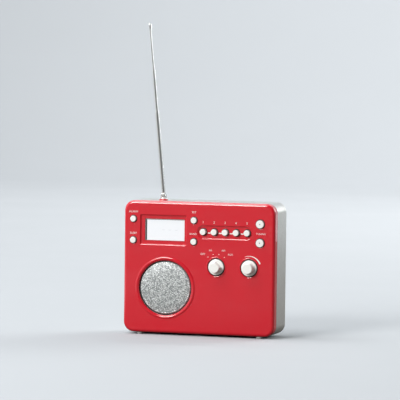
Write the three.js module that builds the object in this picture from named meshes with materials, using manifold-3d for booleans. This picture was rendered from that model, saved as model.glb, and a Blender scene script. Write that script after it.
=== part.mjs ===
// Portable clock radio with a round loudspeaker, a display window, eleven push keys, two knobs and a
// folding telescopic antenna. Millimetres, +X to the right of a person facing the radio, +Y to its back,
// +Z up. The origin is on the surface it stands on, under the middle of the whole radio.

import * as THREE from "three";
import { mergeVertices } from "three/addons/utils/BufferGeometryUtils.js";
import Module from "manifold-3d";

const wasm = await Module();
wasm.setup();

// ---------------------------------------------------------------- driving dimensions

const cabinet = { width: 185, depth: 54, top: 158, corner: 12, wall: 2.4, frontEdge: 3.5, backEdge: 6 };
const foot = { height: 2.5, radius: 4, x: 73.5, depths: [7, 46], pegRadius: 1.6, pegLength: 2.2 };
const gap = 0.3;                      // free space between neighbouring pieces
const knob = { proud: 9.5, discProud: 1, discRadius: 9.3, gripRadius: 6.9, flatAt: 4.9, z: 82.3 };
const key = { proud: 2.2, radius: 3.55, tuneRadius: 4.7, moat: 1.05, flange: 0.85, flangeThickness: 0.9 };

const face = knob.proud - (cabinet.depth + knob.proud) / 2;   // y of the front face
const at = (depth) => face + depth;                           // y of a plane behind the front face
const back = at(cabinet.depth);
const joint = 11;                     // depth of the red front shell
const seam = 0.4;                     // dark line between the two shells
const floor = foot.height;            // z of the cabinet's underside
const midZ = (cabinet.top + floor) / 2;
const cabinetHeight = cabinet.top - floor;

const speaker = { x: -41.1, z: 55.8, openRadius: 32.4, lipRadius: 36, lipDepth: 1.6, frameRadius: 35.4 };
const display = {
  x: -42.6, z: 124, width: 48.8, height: 25.6,
  recessX: -44, recessWidth: 57, recessHeight: 35, recessDepth: 1.6, wall: 3.4,
};
const presets = {
  x: 31.8, z: 123.2, pitch: 13.4, count: 5, width: 67.6, height: 15.2, depth: 1.8, wall: 3.8,
};
const keys = [
  { name: "alarm_button", x: -81, z: 136.3, radius: key.radius, side: "left" },
  { name: "sleep_button", x: -81, z: 111.2, radius: key.radius, side: "left" },
  { name: "set_button", x: -6.3, z: 136.3, radius: key.radius, side: "right" },
  { name: "band_button", x: -6.3, z: 111.2, radius: key.radius, side: "right" },
  { name: "tune_up_button", x: 74.6, z: 134.2, radius: key.tuneRadius, side: "right" },
  { name: "tune_down_button", x: 74.6, z: 112.2, radius: key.tuneRadius, side: "right" },
];
for (let i = 0; i < presets.count; i++) {
  const x = presets.x + (i - (presets.count - 1) / 2) * presets.pitch;
  keys.push({ name: `preset_button_${i + 1}`, x, z: presets.z, radius: key.radius, side: "right" });
}
const knobs = [
  { name: "selector", x: 21.5, flat: true },
  { name: "volume", x: 61.6, flat: false },
];
const well = { radius: 10.7, depth: 1.2, shaftHole: 4.2 };
const cornerScrews = [[-82, 149], [82, 149], [-82, 11.5], [82, 11.5]];
const screw = { hole: 1.75, shank: 1.45, head: 2.7, well: 3.1, frontBoss: 3.6, rearBoss: 4.4, slot: 0.35 };
const jackX = 74;
const jacks = [
  { name: "dc_jack", z: 24, radius: 4.2, bore: 2.9 },
  { name: "headphone_jack", z: 39, radius: 3.4, bore: 1.8 },
  { name: "aux_jack", z: 54, radius: 3.4, bore: 1.8 },
];
const cells = { radius: 7.15, length: 50, pitch: 14.9, columnPitch: 52 };
const bay = { low: 16, width: 105, height: 30.4, depth: 15.6, wall: 1.5, rim: 1.5, rimOverhang: 6 };
const door = { low: 11, high: 51, width: 113, thickness: 2.4, tabX: 36, tabWidth: 10, tabReach: 4.4 };
const antenna = {
  x: -49.3, depth: 17, pivotHeight: 5.4, lean: THREE.MathUtils.degToRad(5.6),
  collarRadius: 5.15, collarHeight: 1.6, sleeve: 4, nutPocket: 7,
};
// Distances of each mast section's two ends from the fold pin, as it stands drawn out.
const mast = { lower: [3.4, 100.7], middle: [52, 148.9], upper: [101, 197.8], tip: [197.8, 204] };
const sides = { pin: 8, key: 12, tube: 14, knob: 20, speaker: 28 };

// ---------------------------------------------------------------- solids

/** Closed solid that faces outwards, from a surface of triangles. */
function solid(geometry) {
  const bare = geometry.clone();
  for (const extra of ["normal", "uv"]) bare.deleteAttribute(extra);
  const merged = mergeVertices(bare, 1e-4);
  const points = new Float32Array(merged.attributes.position.array);
  const corner = (i) => new THREE.Vector3().fromArray(points, 3 * i);
  const triangles = [];
  let volume = 0;
  for (let t = 0; t < merged.index.count; t += 3) {
    const [a, b, c] = [0, 1, 2].map((k) => merged.index.getX(t + k));
    if (a === b || b === c || c === a) continue;
    triangles.push(a, b, c);
    volume += corner(a).dot(corner(b).cross(corner(c)));
  }
  if (volume < 0) triangles.reverse();
  const mesh = new wasm.Mesh({ numProp: 3, vertProperties: points, triVerts: new Uint32Array(triangles) });
  return new wasm.Manifold(mesh);
}

/** Surface of triangles of a closed solid, flat shaded. */
function geometryOf(manifold) {
  const mesh = manifold.getMesh();
  const geometry = new THREE.BufferGeometry();
  geometry.setAttribute("position", new THREE.BufferAttribute(mesh.vertProperties, 3));
  geometry.setIndex(new THREE.BufferAttribute(mesh.triVerts, 1));
  return geometry;
}

/** Box from its low and high corners. */
function box(low, high) {
  const size = high.map((value, i) => value - low[i]);
  const geometry = new THREE.BoxGeometry(...size);
  geometry.translate(...low.map((value, i) => value + size[i] / 2));
  return solid(geometry);
}

/** Cylinder or cone along Y, between two planes, round (x, z). */
function rod(radius, y0, y1, x = 0, z = 0, sides = 20, backRadius = radius) {
  const geometry = new THREE.CylinderGeometry(backRadius, radius, y1 - y0, sides);
  geometry.translate(x, (y0 + y1) / 2, z);
  return solid(geometry);
}

/** Cylinder or cone along Z, between two heights, round (x, y). */
function post(radius, z0, z1, x = 0, y = 0, sides = 20, topRadius = radius) {
  const geometry = new THREE.CylinderGeometry(topRadius, radius, z1 - z0, sides);
  geometry.rotateX(Math.PI / 2);
  geometry.translate(x, y, (z0 + z1) / 2);
  return solid(geometry);
}

/** Body of revolution about the Y axis from a closed profile of [radius, y] points. */
function turned(profile, sides = 32) {
  const points = [...profile, profile[0]].map(([radius, y]) => new THREE.Vector2(radius, y));
  return solid(new THREE.LatheGeometry(points, sides));
}

/** Corner points of a rounded rectangle round (x, z), counter-clockwise from the front. */
function roundedOutline(x, z, width, height, radius, steps = 5) {
  const points = [];
  for (let corner = 0; corner < 4; corner++) {
    const sx = corner === 0 || corner === 3 ? 1 : -1;
    const sz = corner < 2 ? 1 : -1;
    for (let i = 0; i <= steps; i++) {
      const angle = (corner + i / steps) * (Math.PI / 2);
      points.push([
        x + sx * (width / 2 - radius) + radius * Math.cos(angle),
        z + sz * (height / 2 - radius) + radius * Math.sin(angle),
      ]);
    }
  }
  return points;
}

/** Closed body through convex outlines of equal length, each { y, points }, front to back. */
function loft(sections) {
  const count = sections[0].points.length;
  const positions = sections.flatMap(({ y, points }) => points.flatMap(([x, z]) => [x, y, z]));
  const index = [];
  for (let ring = 0; ring < sections.length - 1; ring++) {
    for (let i = 0; i < count; i++) {
      const [a, b] = [ring * count + i, ring * count + ((i + 1) % count)];
      index.push(a, a + count, b, b, a + count, b + count);
    }
  }
  const last = (sections.length - 1) * count;
  for (let i = 1; i < count - 1; i++) {
    index.push(0, i, i + 1, last, last + i + 1, last + i);
  }
  const geometry = new THREE.BufferGeometry();
  geometry.setAttribute("position", new THREE.Float32BufferAttribute(positions, 3));
  geometry.setIndex(index);
  return solid(geometry);
}

/** Rounded-rectangle block between two planes. */
function slab(x, z, width, height, radius, y0, y1, steps = 4) {
  const points = roundedOutline(x, z, width, height, radius, steps);
  return loft([{ y: y0, points }, { y: y1, points }]);
}

/** The cabinet's outline, drawn in by an inset, at one depth behind the face. */
function cabinetSection(depth, inset) {
  const radius = Math.max(cabinet.corner - inset, 1);
  const points = roundedOutline(0, midZ, cabinet.width - 2 * inset, cabinetHeight - 2 * inset, radius, 5);
  return { y: at(depth), points };
}

/** Insets of a rounded edge: quarter round of a radius, in a few steps, from its end face. */
function edgeRound(radius, steps) {
  return Array.from({ length: steps + 1 }, (_, i) => {
    const angle = (i / steps) * (Math.PI / 2);
    return { depth: radius * (1 - Math.cos(angle)), inset: radius * (1 - Math.sin(angle)) };
  });
}

// ---------------------------------------------------------------- materials and nodes

const finishes = {
  redGloss: [0xb8222c, 0.2, 0],
  silverPaint: [0xa8a8a4, 0.4, 0.6],
  whiteGloss: [0xf2f1ec, 0.25, 0],
  blackPlastic: [0x1b1b1d, 0.6, 0],
  blackRubber: [0x222224, 0.8, 0],
  greyRubber: [0x9b9c9c, 0.8, 0],
  grilleMetal: [0xb2b6b5, 0.4, 0.9],
  steel: [0x8f9397, 0.35, 1],
  chrome: [0xdfe2e4, 0.1, 1],
  brass: [0xb08d4a, 0.35, 1],
  copper: [0xb0632f, 0.4, 0.8],
  board: [0x1f5a38, 0.6, 0],
  lcd: [0xe8ecea, 0.2, 0],
  paperCone: [0x26262a, 0.9, 0],
  cloth: [0x2c2c2e, 0.95, 0],
  ferrite: [0x3a3a3d, 0.6, 0],
  cell: [0x4d6b8a, 0.35, 0.2],
};

/** One named sub-part of the radio. */
function node(name, manifold, finish, position = [0, 0, 0]) {
  const [color, roughness, metalness] = finishes[finish];
  const material = new THREE.MeshStandardMaterial({ color, roughness, metalness });
  const mesh = new THREE.Mesh(geometryOf(manifold), material);
  mesh.name = name;
  mesh.position.set(...position);
  return mesh;
}

const radio = new THREE.Group();

// ---------------------------------------------------------------- front shell

function keyHoleRadius(radius) {
  return radius + key.moat;
}

/** Shell with the two holes for the pegs of the feet at one depth. */
function footHoles(shell, depth) {
  const holes = [-1, 1].map((side) => post(foot.pegRadius + gap, 0, 9, side * foot.x, at(depth), sides.pin));
  return holes.reduce((body, hole) => body.subtract(hole), shell);
}

function frontShell() {
  const outer = edgeRound(cabinet.frontEdge, 3).map(({ depth, inset }) => cabinetSection(depth, inset));
  let shell = loft([...outer, cabinetSection(joint, 0)]);
  const hollow = [
    cabinetSection(cabinet.wall, cabinet.wall + 1.6),
    cabinetSection(cabinet.wall + 1.6, cabinet.wall),
    cabinetSection(joint + 1, cabinet.wall),
  ];
  shell = shell.subtract(loft(hollow));

  const inside = at(cabinet.wall) - 0.2;
  const { recessX, recessWidth, recessHeight, recessDepth } = display;
  shell = shell.add(slab(recessX, display.z, recessWidth + 3, recessHeight + 3, 1, inside, at(display.wall)));
  const presetPad = [presets.x, presets.z, presets.width + 3, presets.height + 3, presets.height / 2 + 1.4];
  shell = shell.add(slab(...presetPad, inside, at(presets.wall), 6));
  for (const [x, z] of cornerScrews) {
    shell = shell.add(rod(screw.frontBoss, inside, at(joint - gap), x, z, sides.key));
  }

  shell = shell.subtract(slab(recessX, display.z, recessWidth, recessHeight, 1, face - 1, at(recessDepth)));
  const opening = [display.x, display.z, display.width, display.height, 0.6];
  shell = shell.subtract(slab(...opening, face, at(display.wall + 1)));
  const pill = [presets.x, presets.z, presets.width, presets.height, presets.height / 2 - 0.01];
  shell = shell.subtract(slab(...pill, face - 1, at(presets.depth), 7));
  for (const { x, z, radius } of keys) {
    shell = shell.subtract(rod(keyHoleRadius(radius), face - 1, at(presets.wall + 1), x, z, sides.key));
  }
  for (const { x } of knobs) {
    shell = shell.subtract(rod(well.radius, face - 1, at(well.depth), x, knob.z, sides.knob));
    shell = shell.subtract(rod(well.shaftHole, face, at(cabinet.wall + 1), x, knob.z, sides.tube));
  }
  const { openRadius, lipRadius, lipDepth } = speaker;
  const round = [speaker.x, speaker.z, sides.speaker];
  shell = shell.subtract(rod(openRadius, face - 1, at(cabinet.wall + 1), ...round));
  shell = shell.subtract(rod(lipRadius, face - 1, at(lipDepth), ...round, openRadius));
  for (const [x, z] of cornerScrews) {
    shell = shell.subtract(rod(screw.hole, at(cabinet.wall + 2), at(joint), x, z, sides.pin));
  }
  return footHoles(shell, foot.depths[0]);
}

// ---------------------------------------------------------------- rear shell

function rearShell() {
  const { wall, depth, top } = cabinet;
  const rounded = edgeRound(cabinet.backEdge, 3).reverse();
  const start = joint + seam;
  let shell = loft([
    cabinetSection(start, 0),
    ...rounded.map((step) => cabinetSection(depth - step.depth, step.inset)),
  ]);
  const lip = { depth: 2.8, outer: wall + gap, inner: wall + 1.5 };
  const tongueEnds = [joint - lip.depth, start + 1];
  shell = shell.add(loft(tongueEnds.map((end) => cabinetSection(end, lip.outer))));
  shell = shell.subtract(loft([
    cabinetSection(joint - lip.depth - 1, lip.inner), cabinetSection(start + 1.5, lip.inner),
    cabinetSection(start + 3, wall), cabinetSection(depth - wall - 3.4, wall),
    cabinetSection(depth - wall, wall + 3),
  ]));

  const inner = at(depth - wall) + 0.2;
  for (const [x, z] of cornerScrews) {
    shell = shell.add(rod(screw.rearBoss, at(start), inner, x, z, sides.key));
  }
  const posts = [[-76, 70], [76, 70], [-76, 132], [76, 132]];
  for (const [x, z] of posts) shell = shell.add(rod(3, at(35), inner, x, z, sides.pin));

  for (const [x, z] of cornerScrews) {
    shell = shell.subtract(rod(screw.well, at(start + 2.2), back + 1, x, z, sides.key));
    shell = shell.subtract(rod(screw.hole, at(start - 1), at(start + 3), x, z, sides.pin));
  }
  const opening = [0, (door.low + door.high) / 2, door.width + 2 * gap, door.high - door.low + 2 * gap, 2];
  shell = shell.subtract(slab(...opening, at(depth - wall - 1), back + 1));
  for (const { z, radius } of jacks) {
    shell = shell.subtract(rod(radius + gap, at(depth - wall - 1), back + 1, jackX, z, sides.tube));
  }
  const aerialPlace = [antenna.x, at(antenna.depth)];
  shell = shell.subtract(post(antenna.sleeve + gap, top - wall - 1, top + 1, ...aerialPlace));
  shell = shell.subtract(post(antenna.nutPocket, top - antenna.nutPocket, top - wall, ...aerialPlace));
  return footHoles(shell, foot.depths[1]);
}

radio.add(node("front_shell", frontShell(), "redGloss"));
radio.add(node("rear_shell", rearShell(), "silverPaint"));

for (const [i, side] of [-1, 1].entries()) {
  for (const [j, depth] of foot.depths.entries()) {
    const pad = post(foot.radius - 0.3, 0, foot.height - 0.05, 0, 0, sides.tube, foot.radius);
    const peg = post(foot.pegRadius, 1, foot.height + foot.pegLength, 0, 0, sides.pin);
    radio.add(node(`foot_${2 * i + j + 1}`, pad.add(peg), "greyRubber", [side * foot.x, at(depth), 0]));
  }
}

/** Pan-head screw along Y: head at the back, shank towards the front shell's boss. */
function cabinetScrew() {
  const { head, shank, slot } = screw;
  const [slotFloor, slotLength] = [1.1, 1.9];
  return rod(head, 0, 1.9, 0, 0, sides.key)
    .add(rod(shank, -8.2, 0.5, 0, 0, sides.pin))
    .subtract(box([-slotLength, slotFloor, -slot], [slotLength, 2.5, slot]))
    .subtract(box([-slot, slotFloor, -slotLength], [slot, 2.5, slotLength]));
}
for (const [i, [x, z]] of cornerScrews.entries()) {
  radio.add(node(`cabinet_screw_${i + 1}`, cabinetScrew(), "steel", [x, at(joint + seam + 2.4), z]));
}

// ---------------------------------------------------------------- loudspeaker

const loudspeaker = new THREE.Group();
loudspeaker.position.set(speaker.x, face, speaker.z);
radio.add(loudspeaker);

const grilleProfile = [
  [0, 0.3], [14, 0.5], [24, 1], [29.4, 1.6], [30.6, 2.2], [30.8, 3.2], [34.2, 3.2], [34.2, 3.8],
  [30.2, 3.8], [30, 2.8], [28.9, 2.2], [23.8, 1.6], [14, 1.1], [0, 0.9],
];
const coneProfile = [
  [0, 12.4], [3.2, 13], [6.3, 15.2], [25.4, 7.4], [26.2, 8.2], [7.2, 16.2],
  [7.2, 24.4], [6.4, 24.4], [6.4, 16], [3.2, 13.8], [0, 13.2],
];
const surroundProfile = [
  [26.5, 7.4], [27.6, 6.2], [29, 5.9], [30.4, 6.5], [30.9, 7.8], [29, 6.6], [27.6, 7.1], [26.9, 8.1],
];
const frameProfile = [
  [31.4, 5.2], [speaker.frameRadius, 5.2], [speaker.frameRadius, 6.6], [33, 6.6], [32.6, 10], [20, 19.8],
  [9.2, 19.8], [9.2, 18.6], [19.4, 18.6], [31.4, 9.6],
];
const magnetProfile = [
  [8.6, 20], [20, 20], [20, 29.5], [0, 29.5], [0, 27.6], [8.6, 27.6],
];
const frameWindows = [0, 1, 2, 3].map((i) => {
  const window = box([-6, 8, 11], [6, 20, 30]);
  return window.rotate([0, 45 + 90 * i, 0]);
});
const closedBasket = turned(frameProfile, sides.speaker);
const basket = frameWindows.reduce((body, window) => body.subtract(window), closedBasket);
const pole = rod(5.4, 17, 28, 0, 0, sides.tube);
loudspeaker.add(node("speaker_grille", turned(grilleProfile, sides.speaker), "grilleMetal"));
loudspeaker.add(node("grille_cloth", rod(30.6, 4.1, 4.7, 0, 0, sides.speaker), "cloth"));
loudspeaker.add(node("speaker_frame", basket, "steel"));
loudspeaker.add(node("speaker_surround", turned(surroundProfile, sides.speaker), "blackRubber"));
loudspeaker.add(node("speaker_cone", turned(coneProfile, sides.speaker), "paperCone"));
loudspeaker.add(node("speaker_magnet", turned(magnetProfile, sides.knob).add(pole), "ferrite"));

// ---------------------------------------------------------------- display

const windowPlate = slab(0, 0, display.width - 2 * gap, display.height - 2 * gap, 0.4, 0, 1.1);
const windowAt = [display.x, at(display.recessDepth + 0.7), display.z];
radio.add(node("lcd_window", windowPlate, "lcd", windowAt));
const holder = slab(0, 0, 54, 31, 1, 0, 3.4);
const glassPocket = slab(0, 0, display.width - 1, display.height - 1, 0.4, -1, 1.2);
const moduleAt = [display.x, at(display.wall + gap), display.z];
radio.add(node("lcd_module", holder.subtract(glassPocket), "blackPlastic", moduleAt));

// ---------------------------------------------------------------- keys

const mat = { front: presets.wall + gap, thickness: 0.9, ring: 0.8, keyGap: 0.3 };
const boardDepth = 8.8;

/** Push key: domed cap in front, retaining flange behind the mat. y = 0 is the cap's front. */
function pushKey(radius) {
  const flangeFront = key.proud + mat.front + mat.thickness + gap;
  const profile = [
    [0, 0], [radius - 1.1, 0], [radius - 0.35, 0.25], [radius, 0.9], [radius, flangeFront],
    [radius + key.flange, flangeFront], [radius + key.flange, flangeFront + key.flangeThickness],
    [0, flangeFront + key.flangeThickness],
  ];
  return turned(profile, sides.key);
}

/** Rubber mat with a dark collar that fills the moat round each key. */
function keyMat(outlineSlab, side) {
  let sheet = outlineSlab;
  const own = keys.filter((one) => one.side === side);
  for (const { x, z, radius } of own) {
    const collar = rod(keyHoleRadius(radius) - gap, at(mat.ring), at(mat.front + 0.3), x, z, sides.key);
    sheet = sheet.add(collar);
  }
  for (const { x, z, radius } of own) {
    sheet = sheet.subtract(rod(radius + mat.keyGap, face - 1, at(8), x, z, sides.key));
  }
  return sheet;
}

const matPlanes = [at(mat.front), at(mat.front + mat.thickness)];
const leftMat = slab(-81, 123.8, 12, 39, 3, ...matPlanes);
const rightMat = slab(34.6, 123.8, 93.6, 34.6, 4, ...matPlanes);
radio.add(node("keypad_mat_left", keyMat(leftMat, "left"), "blackRubber"));
radio.add(node("keypad_mat_right", keyMat(rightMat, "right"), "blackRubber"));
for (const { name, x, z, radius } of keys) {
  const cap = pushKey(radius);
  radio.add(node(name, cap, "whiteGloss", [x, at(-key.proud), z]));
}

/** Board that carries the key switches, behind the display and the keys. */
function controlBoard() {
  const planes = [at(boardDepth), at(boardDepth + 1.4)];
  let board = slab(0, 122.6, 171, 41, 2, ...planes);
  board = board.add(slab(42, 84, 82, 40, 2, ...planes));
  for (const { x, z } of keys) {
    board = board.add(rod(1.7, at(boardDepth - 1.1), at(boardDepth + 0.2), x, z, sides.pin));
  }
  for (const { x } of knobs) board = board.subtract(rod(4.1, at(8), at(11), x, knob.z, sides.tube));
  return board;
}
radio.add(node("control_board", controlBoard(), "board"));

// ---------------------------------------------------------------- knobs

const flatAngle = Math.PI / 4;

/** Knob: disc flush in its well and a tall grip; y = 0 is the cabinet's front face. */
function knobBody(withFlat) {
  const profile = [
    [0, -knob.proud], [knob.gripRadius - 1.6, -knob.proud], [knob.gripRadius - 0.75, 0.5 - knob.proud],
    [knob.gripRadius, -knob.discProud], [knob.discRadius - 0.4, -knob.discProud],
    [knob.discRadius, 0.4 - knob.discProud], [knob.discRadius, 0.85], [0, 0.85],
  ];
  let body = turned(profile, sides.knob);
  if (withFlat) {
    const cutter = box([-10, -knob.proud - 1, knob.flatAt], [10, -knob.discProud, 12]);
    body = body.subtract(cutter.rotate([0, 90 - THREE.MathUtils.radToDeg(flatAngle), 0]));
  }
  const collar = rod(3.7, 0.5, 3.4, 0, 0, sides.tube);
  return body.add(collar).subtract(rod(2.9, -5, 4, 0, 0, sides.key));
}

const shaftProfile = [[0, -4.6], [2.6, -4.6], [2.6, 12.2], [3.4, 12.2], [3.4, 13.4], [0, 13.4]];
for (const { name, x, flat } of knobs) {
  const place = [x, face, knob.z];
  radio.add(node(`${name}_knob`, knobBody(flat), "whiteGloss", place));
  radio.add(node(`${name}_shaft`, turned(shaftProfile, sides.key), "steel", place));
  const can = slab(0, 0, 17, 17, 2, 10.6, 19).subtract(rod(3.7, 11.6, 14, 0, 0, sides.key));
  const bushed = can.subtract(rod(2.9, 10, 12, 0, 0, sides.key));
  const terminals = box([-6, 15, -12], [6, 15.8, -8]);
  radio.add(node(flat ? "selector_switch" : "volume_control", bushed.add(terminals), "steel", place));
}

// ---------------------------------------------------------------- main board and aerials

const ferriteAt = { x: 10, z: 122, depth: 42.5, radius: 4.3, length: 60, coilRadius: 5.4, coilLength: 30 };

/** Main board with its chips and the two saddles that hold the ferrite rod. */
function mainBoard() {
  let board = slab(0, 101, 166, 76, 2, at(33), at(34.6));
  const chips = [[-30, 100, 14, 14, 2], [12, 94, 20, 8, 2.4], [52, 100, 12, 12, 1.8], [-4, 116, 10, 18, 3]];
  for (const [x, z, width, height, thick] of chips) {
    board = board.add(slab(x, z, width, height, 0.5, at(33 - thick), at(33.2), 2));
  }
  for (const [x, z] of [[-62, 84], [-62, 96], [30, 120], [40, 120]]) {
    board = board.add(rod(4, at(22), at(33.2), x, z, sides.pin));
  }
  for (const x of [ferriteAt.x - 24, ferriteAt.x + 24]) {
    const [low, high] = [ferriteAt.z - 6.4, ferriteAt.z + 6.4];
    board = board.add(box([x - 2.5, at(34.4), low], [x + 2.5, at(ferriteAt.depth), high]));
  }
  return board.subtract(ferrite(ferriteAt.radius + gap, ferriteAt.length + 10));
}


/** Cylinder along X on the ferrite rod's axis. */
function ferrite(radius, length) {
  const geometry = new THREE.CylinderGeometry(radius, radius, length, sides.tube);
  geometry.rotateZ(Math.PI / 2);
  geometry.translate(ferriteAt.x, at(ferriteAt.depth), ferriteAt.z);
  return solid(geometry);
}

radio.add(node("main_board", mainBoard(), "board"));
radio.add(node("ferrite_rod", ferrite(ferriteAt.radius, ferriteAt.length), "ferrite"));
const coilBore = ferrite(ferriteAt.radius + gap, ferriteAt.coilLength + 4);
const coil = ferrite(ferriteAt.coilRadius, ferriteAt.coilLength).subtract(coilBore);
radio.add(node("ferrite_coil", coil, "copper"));
const tunerCan = slab(0, 0, 26, 22, 1, 0, 7, 2);
radio.add(node("tuner_can", tunerCan, "steel", [58, at(25.7), ferriteAt.z]));

// ---------------------------------------------------------------- jacks

for (const { name, z, radius, bore } of jacks) {
  const nose = rod(radius, -4, 0, 0, 0, sides.tube);
  const block = box([-6, -16, -6], [6, -2.7, 6]);
  const socket = nose.add(block).subtract(rod(bore, -11, 1, 0, 0, sides.key));
  const pin = name === "dc_jack" ? socket.add(rod(1, -12, -1.5, 0, 0, 8)) : socket;
  radio.add(node(name, pin, "blackPlastic", [jackX, back, z]));
}

// ---------------------------------------------------------------- battery bay

const bayMidZ = bay.low + bay.height / 2;
const bayBack = cabinet.depth - door.thickness - gap;

/** Tray for two rows of cells, with a rim notched where the door's tabs swing past it. */
function batteryTray() {
  const { width, height, wall, depth } = bay;
  const front = bayBack - depth - wall;
  let tray = slab(0, bayMidZ, width + 2 * wall, height + 2 * wall, 1.5, at(front), at(bayBack), 3);
  const rim = [0, bayMidZ, width + 2 * bay.rimOverhang, height + 2 * wall, 1.5];
  tray = tray.add(slab(...rim, at(bayBack - bay.rim), at(bayBack), 3));
  tray = tray.subtract(box(
    [-width / 2, at(front + wall), bay.low],
    [width / 2, back + 1, bay.low + height],
  ));
  const notch = { width: door.tabWidth + 2 * gap, front: at(bayBack - bay.rim - gap), top: bay.low + gap };
  for (const side of [-1, 1]) {
    const x = side * door.tabX;
    tray = tray.subtract(box(
      [x - notch.width / 2, notch.front, notch.top - 3],
      [x + notch.width / 2, back, notch.top],
    ));
  }
  return tray;
}

/** Round cell along X with a raised contact at one end. */
function roundCell(direction) {
  const body = new THREE.LatheGeometry([
    [0, -cells.length / 2], [cells.radius - 0.4, -cells.length / 2], [cells.radius, -cells.length / 2 + 0.5],
    [cells.radius, cells.length / 2 - 1.6], [cells.radius - 0.6, cells.length / 2 - 1.2],
    [2.7, cells.length / 2 - 1.2], [2.7, cells.length / 2], [0, cells.length / 2],
  ].map(([radius, along]) => new THREE.Vector2(radius, along)), sides.tube);
  body.rotateZ(direction * Math.PI / 2);
  return solid(body);
}

radio.add(node("battery_tray", batteryTray(), "blackPlastic"));
for (let i = 0; i < 4; i++) {
  const [row, column] = [i % 2, Math.floor(i / 2)];
  const position = [
    (column - 0.5) * cells.columnPitch,
    at(bayBack - bay.depth / 2),
    bayMidZ + (row - 0.5) * cells.pitch,
  ];
  radio.add(node(`battery_cell_${i + 1}`, roundCell(row ? 1 : -1), "cell", position));
}

/** Door, hung on two tabs behind the shell's lower edge; y = 0 is its outer face. */
function batteryDoor() {
  const height = door.high - door.low;
  let leaf = slab(0, height / 2, door.width, height, 1.7, -door.thickness, 0, 4);
  for (const side of [-1, 1]) {
    const x = side * door.tabX;
    const lowX = x - door.tabWidth / 2;
    const highX = x + door.tabWidth / 2;
    leaf = leaf.add(box([lowX, -door.tabReach, 0.4], [highX, -door.thickness + 0.2, 2.6]));
    leaf = leaf.add(box([lowX, -door.tabReach, -2.6], [highX, -door.thickness - gap - 0.1, 0.6]));
  }
  const catchTab = box([-7, -3.6, height - 0.4], [7, -door.thickness - gap, height + 1.4]);
  return leaf.add(box([-7, -3.6, height - 3], [7, -door.thickness + 0.2, height - 0.2])).add(catchTab);
}
radio.add(node("battery_door", batteryDoor(), "silverPaint", [0, back, door.low]));

// ---------------------------------------------------------------- telescopic antenna

const aerial = new THREE.Group();
aerial.position.set(antenna.x, at(antenna.depth), cabinet.top);
radio.add(aerial);

const pivot = antenna.pivotHeight;
const fork = { radius: 3, slot: 2.4, width: 5.6, base: 2.6 };
const tongue = { thickness: 1.8, radius: 2.45 };
const pinRadius = 0.8;

const socketBody = post(antenna.sleeve, -7.2, 0.5, 0, 0, sides.tube)
  .add(post(antenna.collarRadius, 0.1, antenna.collarHeight, 0, 0, sides.knob));
aerial.add(node("antenna_socket", socketBody.subtract(post(2.7, -9, 3, 0, 0, sides.tube)), "redGloss"));
const nutShape = post(6.2, -5.4, -cabinet.wall - gap, 0, 0, 6);
const nutBore = post(antenna.sleeve + gap, -7, 0, 0, 0, sides.tube);
aerial.add(node("antenna_nut", nutShape.subtract(nutBore), "brass"));

function turret() {
  let body = post(4, antenna.collarHeight + gap, fork.base, 0, 0, sides.tube);
  body = body.add(post(2.4, -7.3, fork.base - 0.2, 0, 0, sides.tube)).add(post(1.7, -9, -7, 0, 0, sides.key));
  body = body.add(post(2.4, -9.6, -8.7, 0, 0, sides.key));
  const half = fork.width / 2;
  body = body.add(box([-fork.radius, -half, fork.base - 0.2], [fork.radius, half, pivot]));
  body = body.add(rod(fork.radius, -half, half, 0, pivot, sides.tube));
  body = body.subtract(box([-5, -fork.slot / 2, fork.base], [5, fork.slot / 2, pivot + 5]));
  return body.subtract(rod(pinRadius + gap, -5, 5, 0, pivot, sides.pin));
}
aerial.add(node("antenna_turret", turret(), "chrome"));
const clip = post(3.6, -8.4, -7.6, 0, 0, sides.tube).subtract(post(2, -9, -7, 0, 0, sides.key));
aerial.add(node("antenna_clip", clip.subtract(box([-1.2, 0, -9], [1.2, 5, -7])), "steel"));
const pinShape = rod(pinRadius, -3.1, 3.1, 0, 0, sides.key);
aerial.add(node("antenna_pin", pinShape, "steel", [0, 0, pivot]));

const mastGroup = new THREE.Group();
mastGroup.position.set(0, 0, pivot);
mastGroup.rotation.y = -antenna.lean;
aerial.add(mastGroup);

/** One tube of the mast, closed at its lower end: outer and inner radius, and its two ends. */
function tube(outer, inner, [from, to]) {
  return post(outer, from, to, 0, 0, sides.tube).subtract(post(inner, from + 1, to + 1, 0, 0, sides.tube));
}

const lowerRoot = rod(tongue.radius, -tongue.thickness / 2, tongue.thickness / 2, 0, 0, sides.tube)
  .add(box([-1.7, -tongue.thickness / 2, 0], [1.7, tongue.thickness / 2, mast.lower[0] + 0.5]));
const pinBore = rod(pinRadius + gap, -3, 3, 0, 0, sides.key);
const lowerMast = tube(2.5, 2.1, mast.lower).add(lowerRoot).subtract(pinBore);
mastGroup.add(node("antenna_mast_lower", lowerMast, "chrome"));
mastGroup.add(node("antenna_mast_middle", tube(1.8, 1.4, mast.middle), "chrome"));
mastGroup.add(node("antenna_mast_upper", post(1.1, ...mast.upper, 0, 0, sides.key), "chrome"));
const tipShape = post(2, mast.tip[0] + 0.1, mast.tip[1] - 1.6, 0, 0, sides.tube)
  .add(post(2, mast.tip[1] - 1.7, mast.tip[1], 0, 0, sides.tube, 0.9));
mastGroup.add(node("antenna_tip", tipShape, "chrome"));

export default radio;
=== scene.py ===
"""Portable clock radio: gloss red front, silver back, round grille, display, keys, knobs and aerial.

Every size is in millimetres and is scaled to metres when a mesh is made. Depths are counted back from
the front face. +X is to the right of a person facing the radio, +Y to its back and +Z up.
"""

import logging
import math
from collections.abc import Callable, Iterable, Sequence
from dataclasses import dataclass, field
from enum import Enum

import bmesh
import bpy
from mathutils import Matrix, Vector


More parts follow.
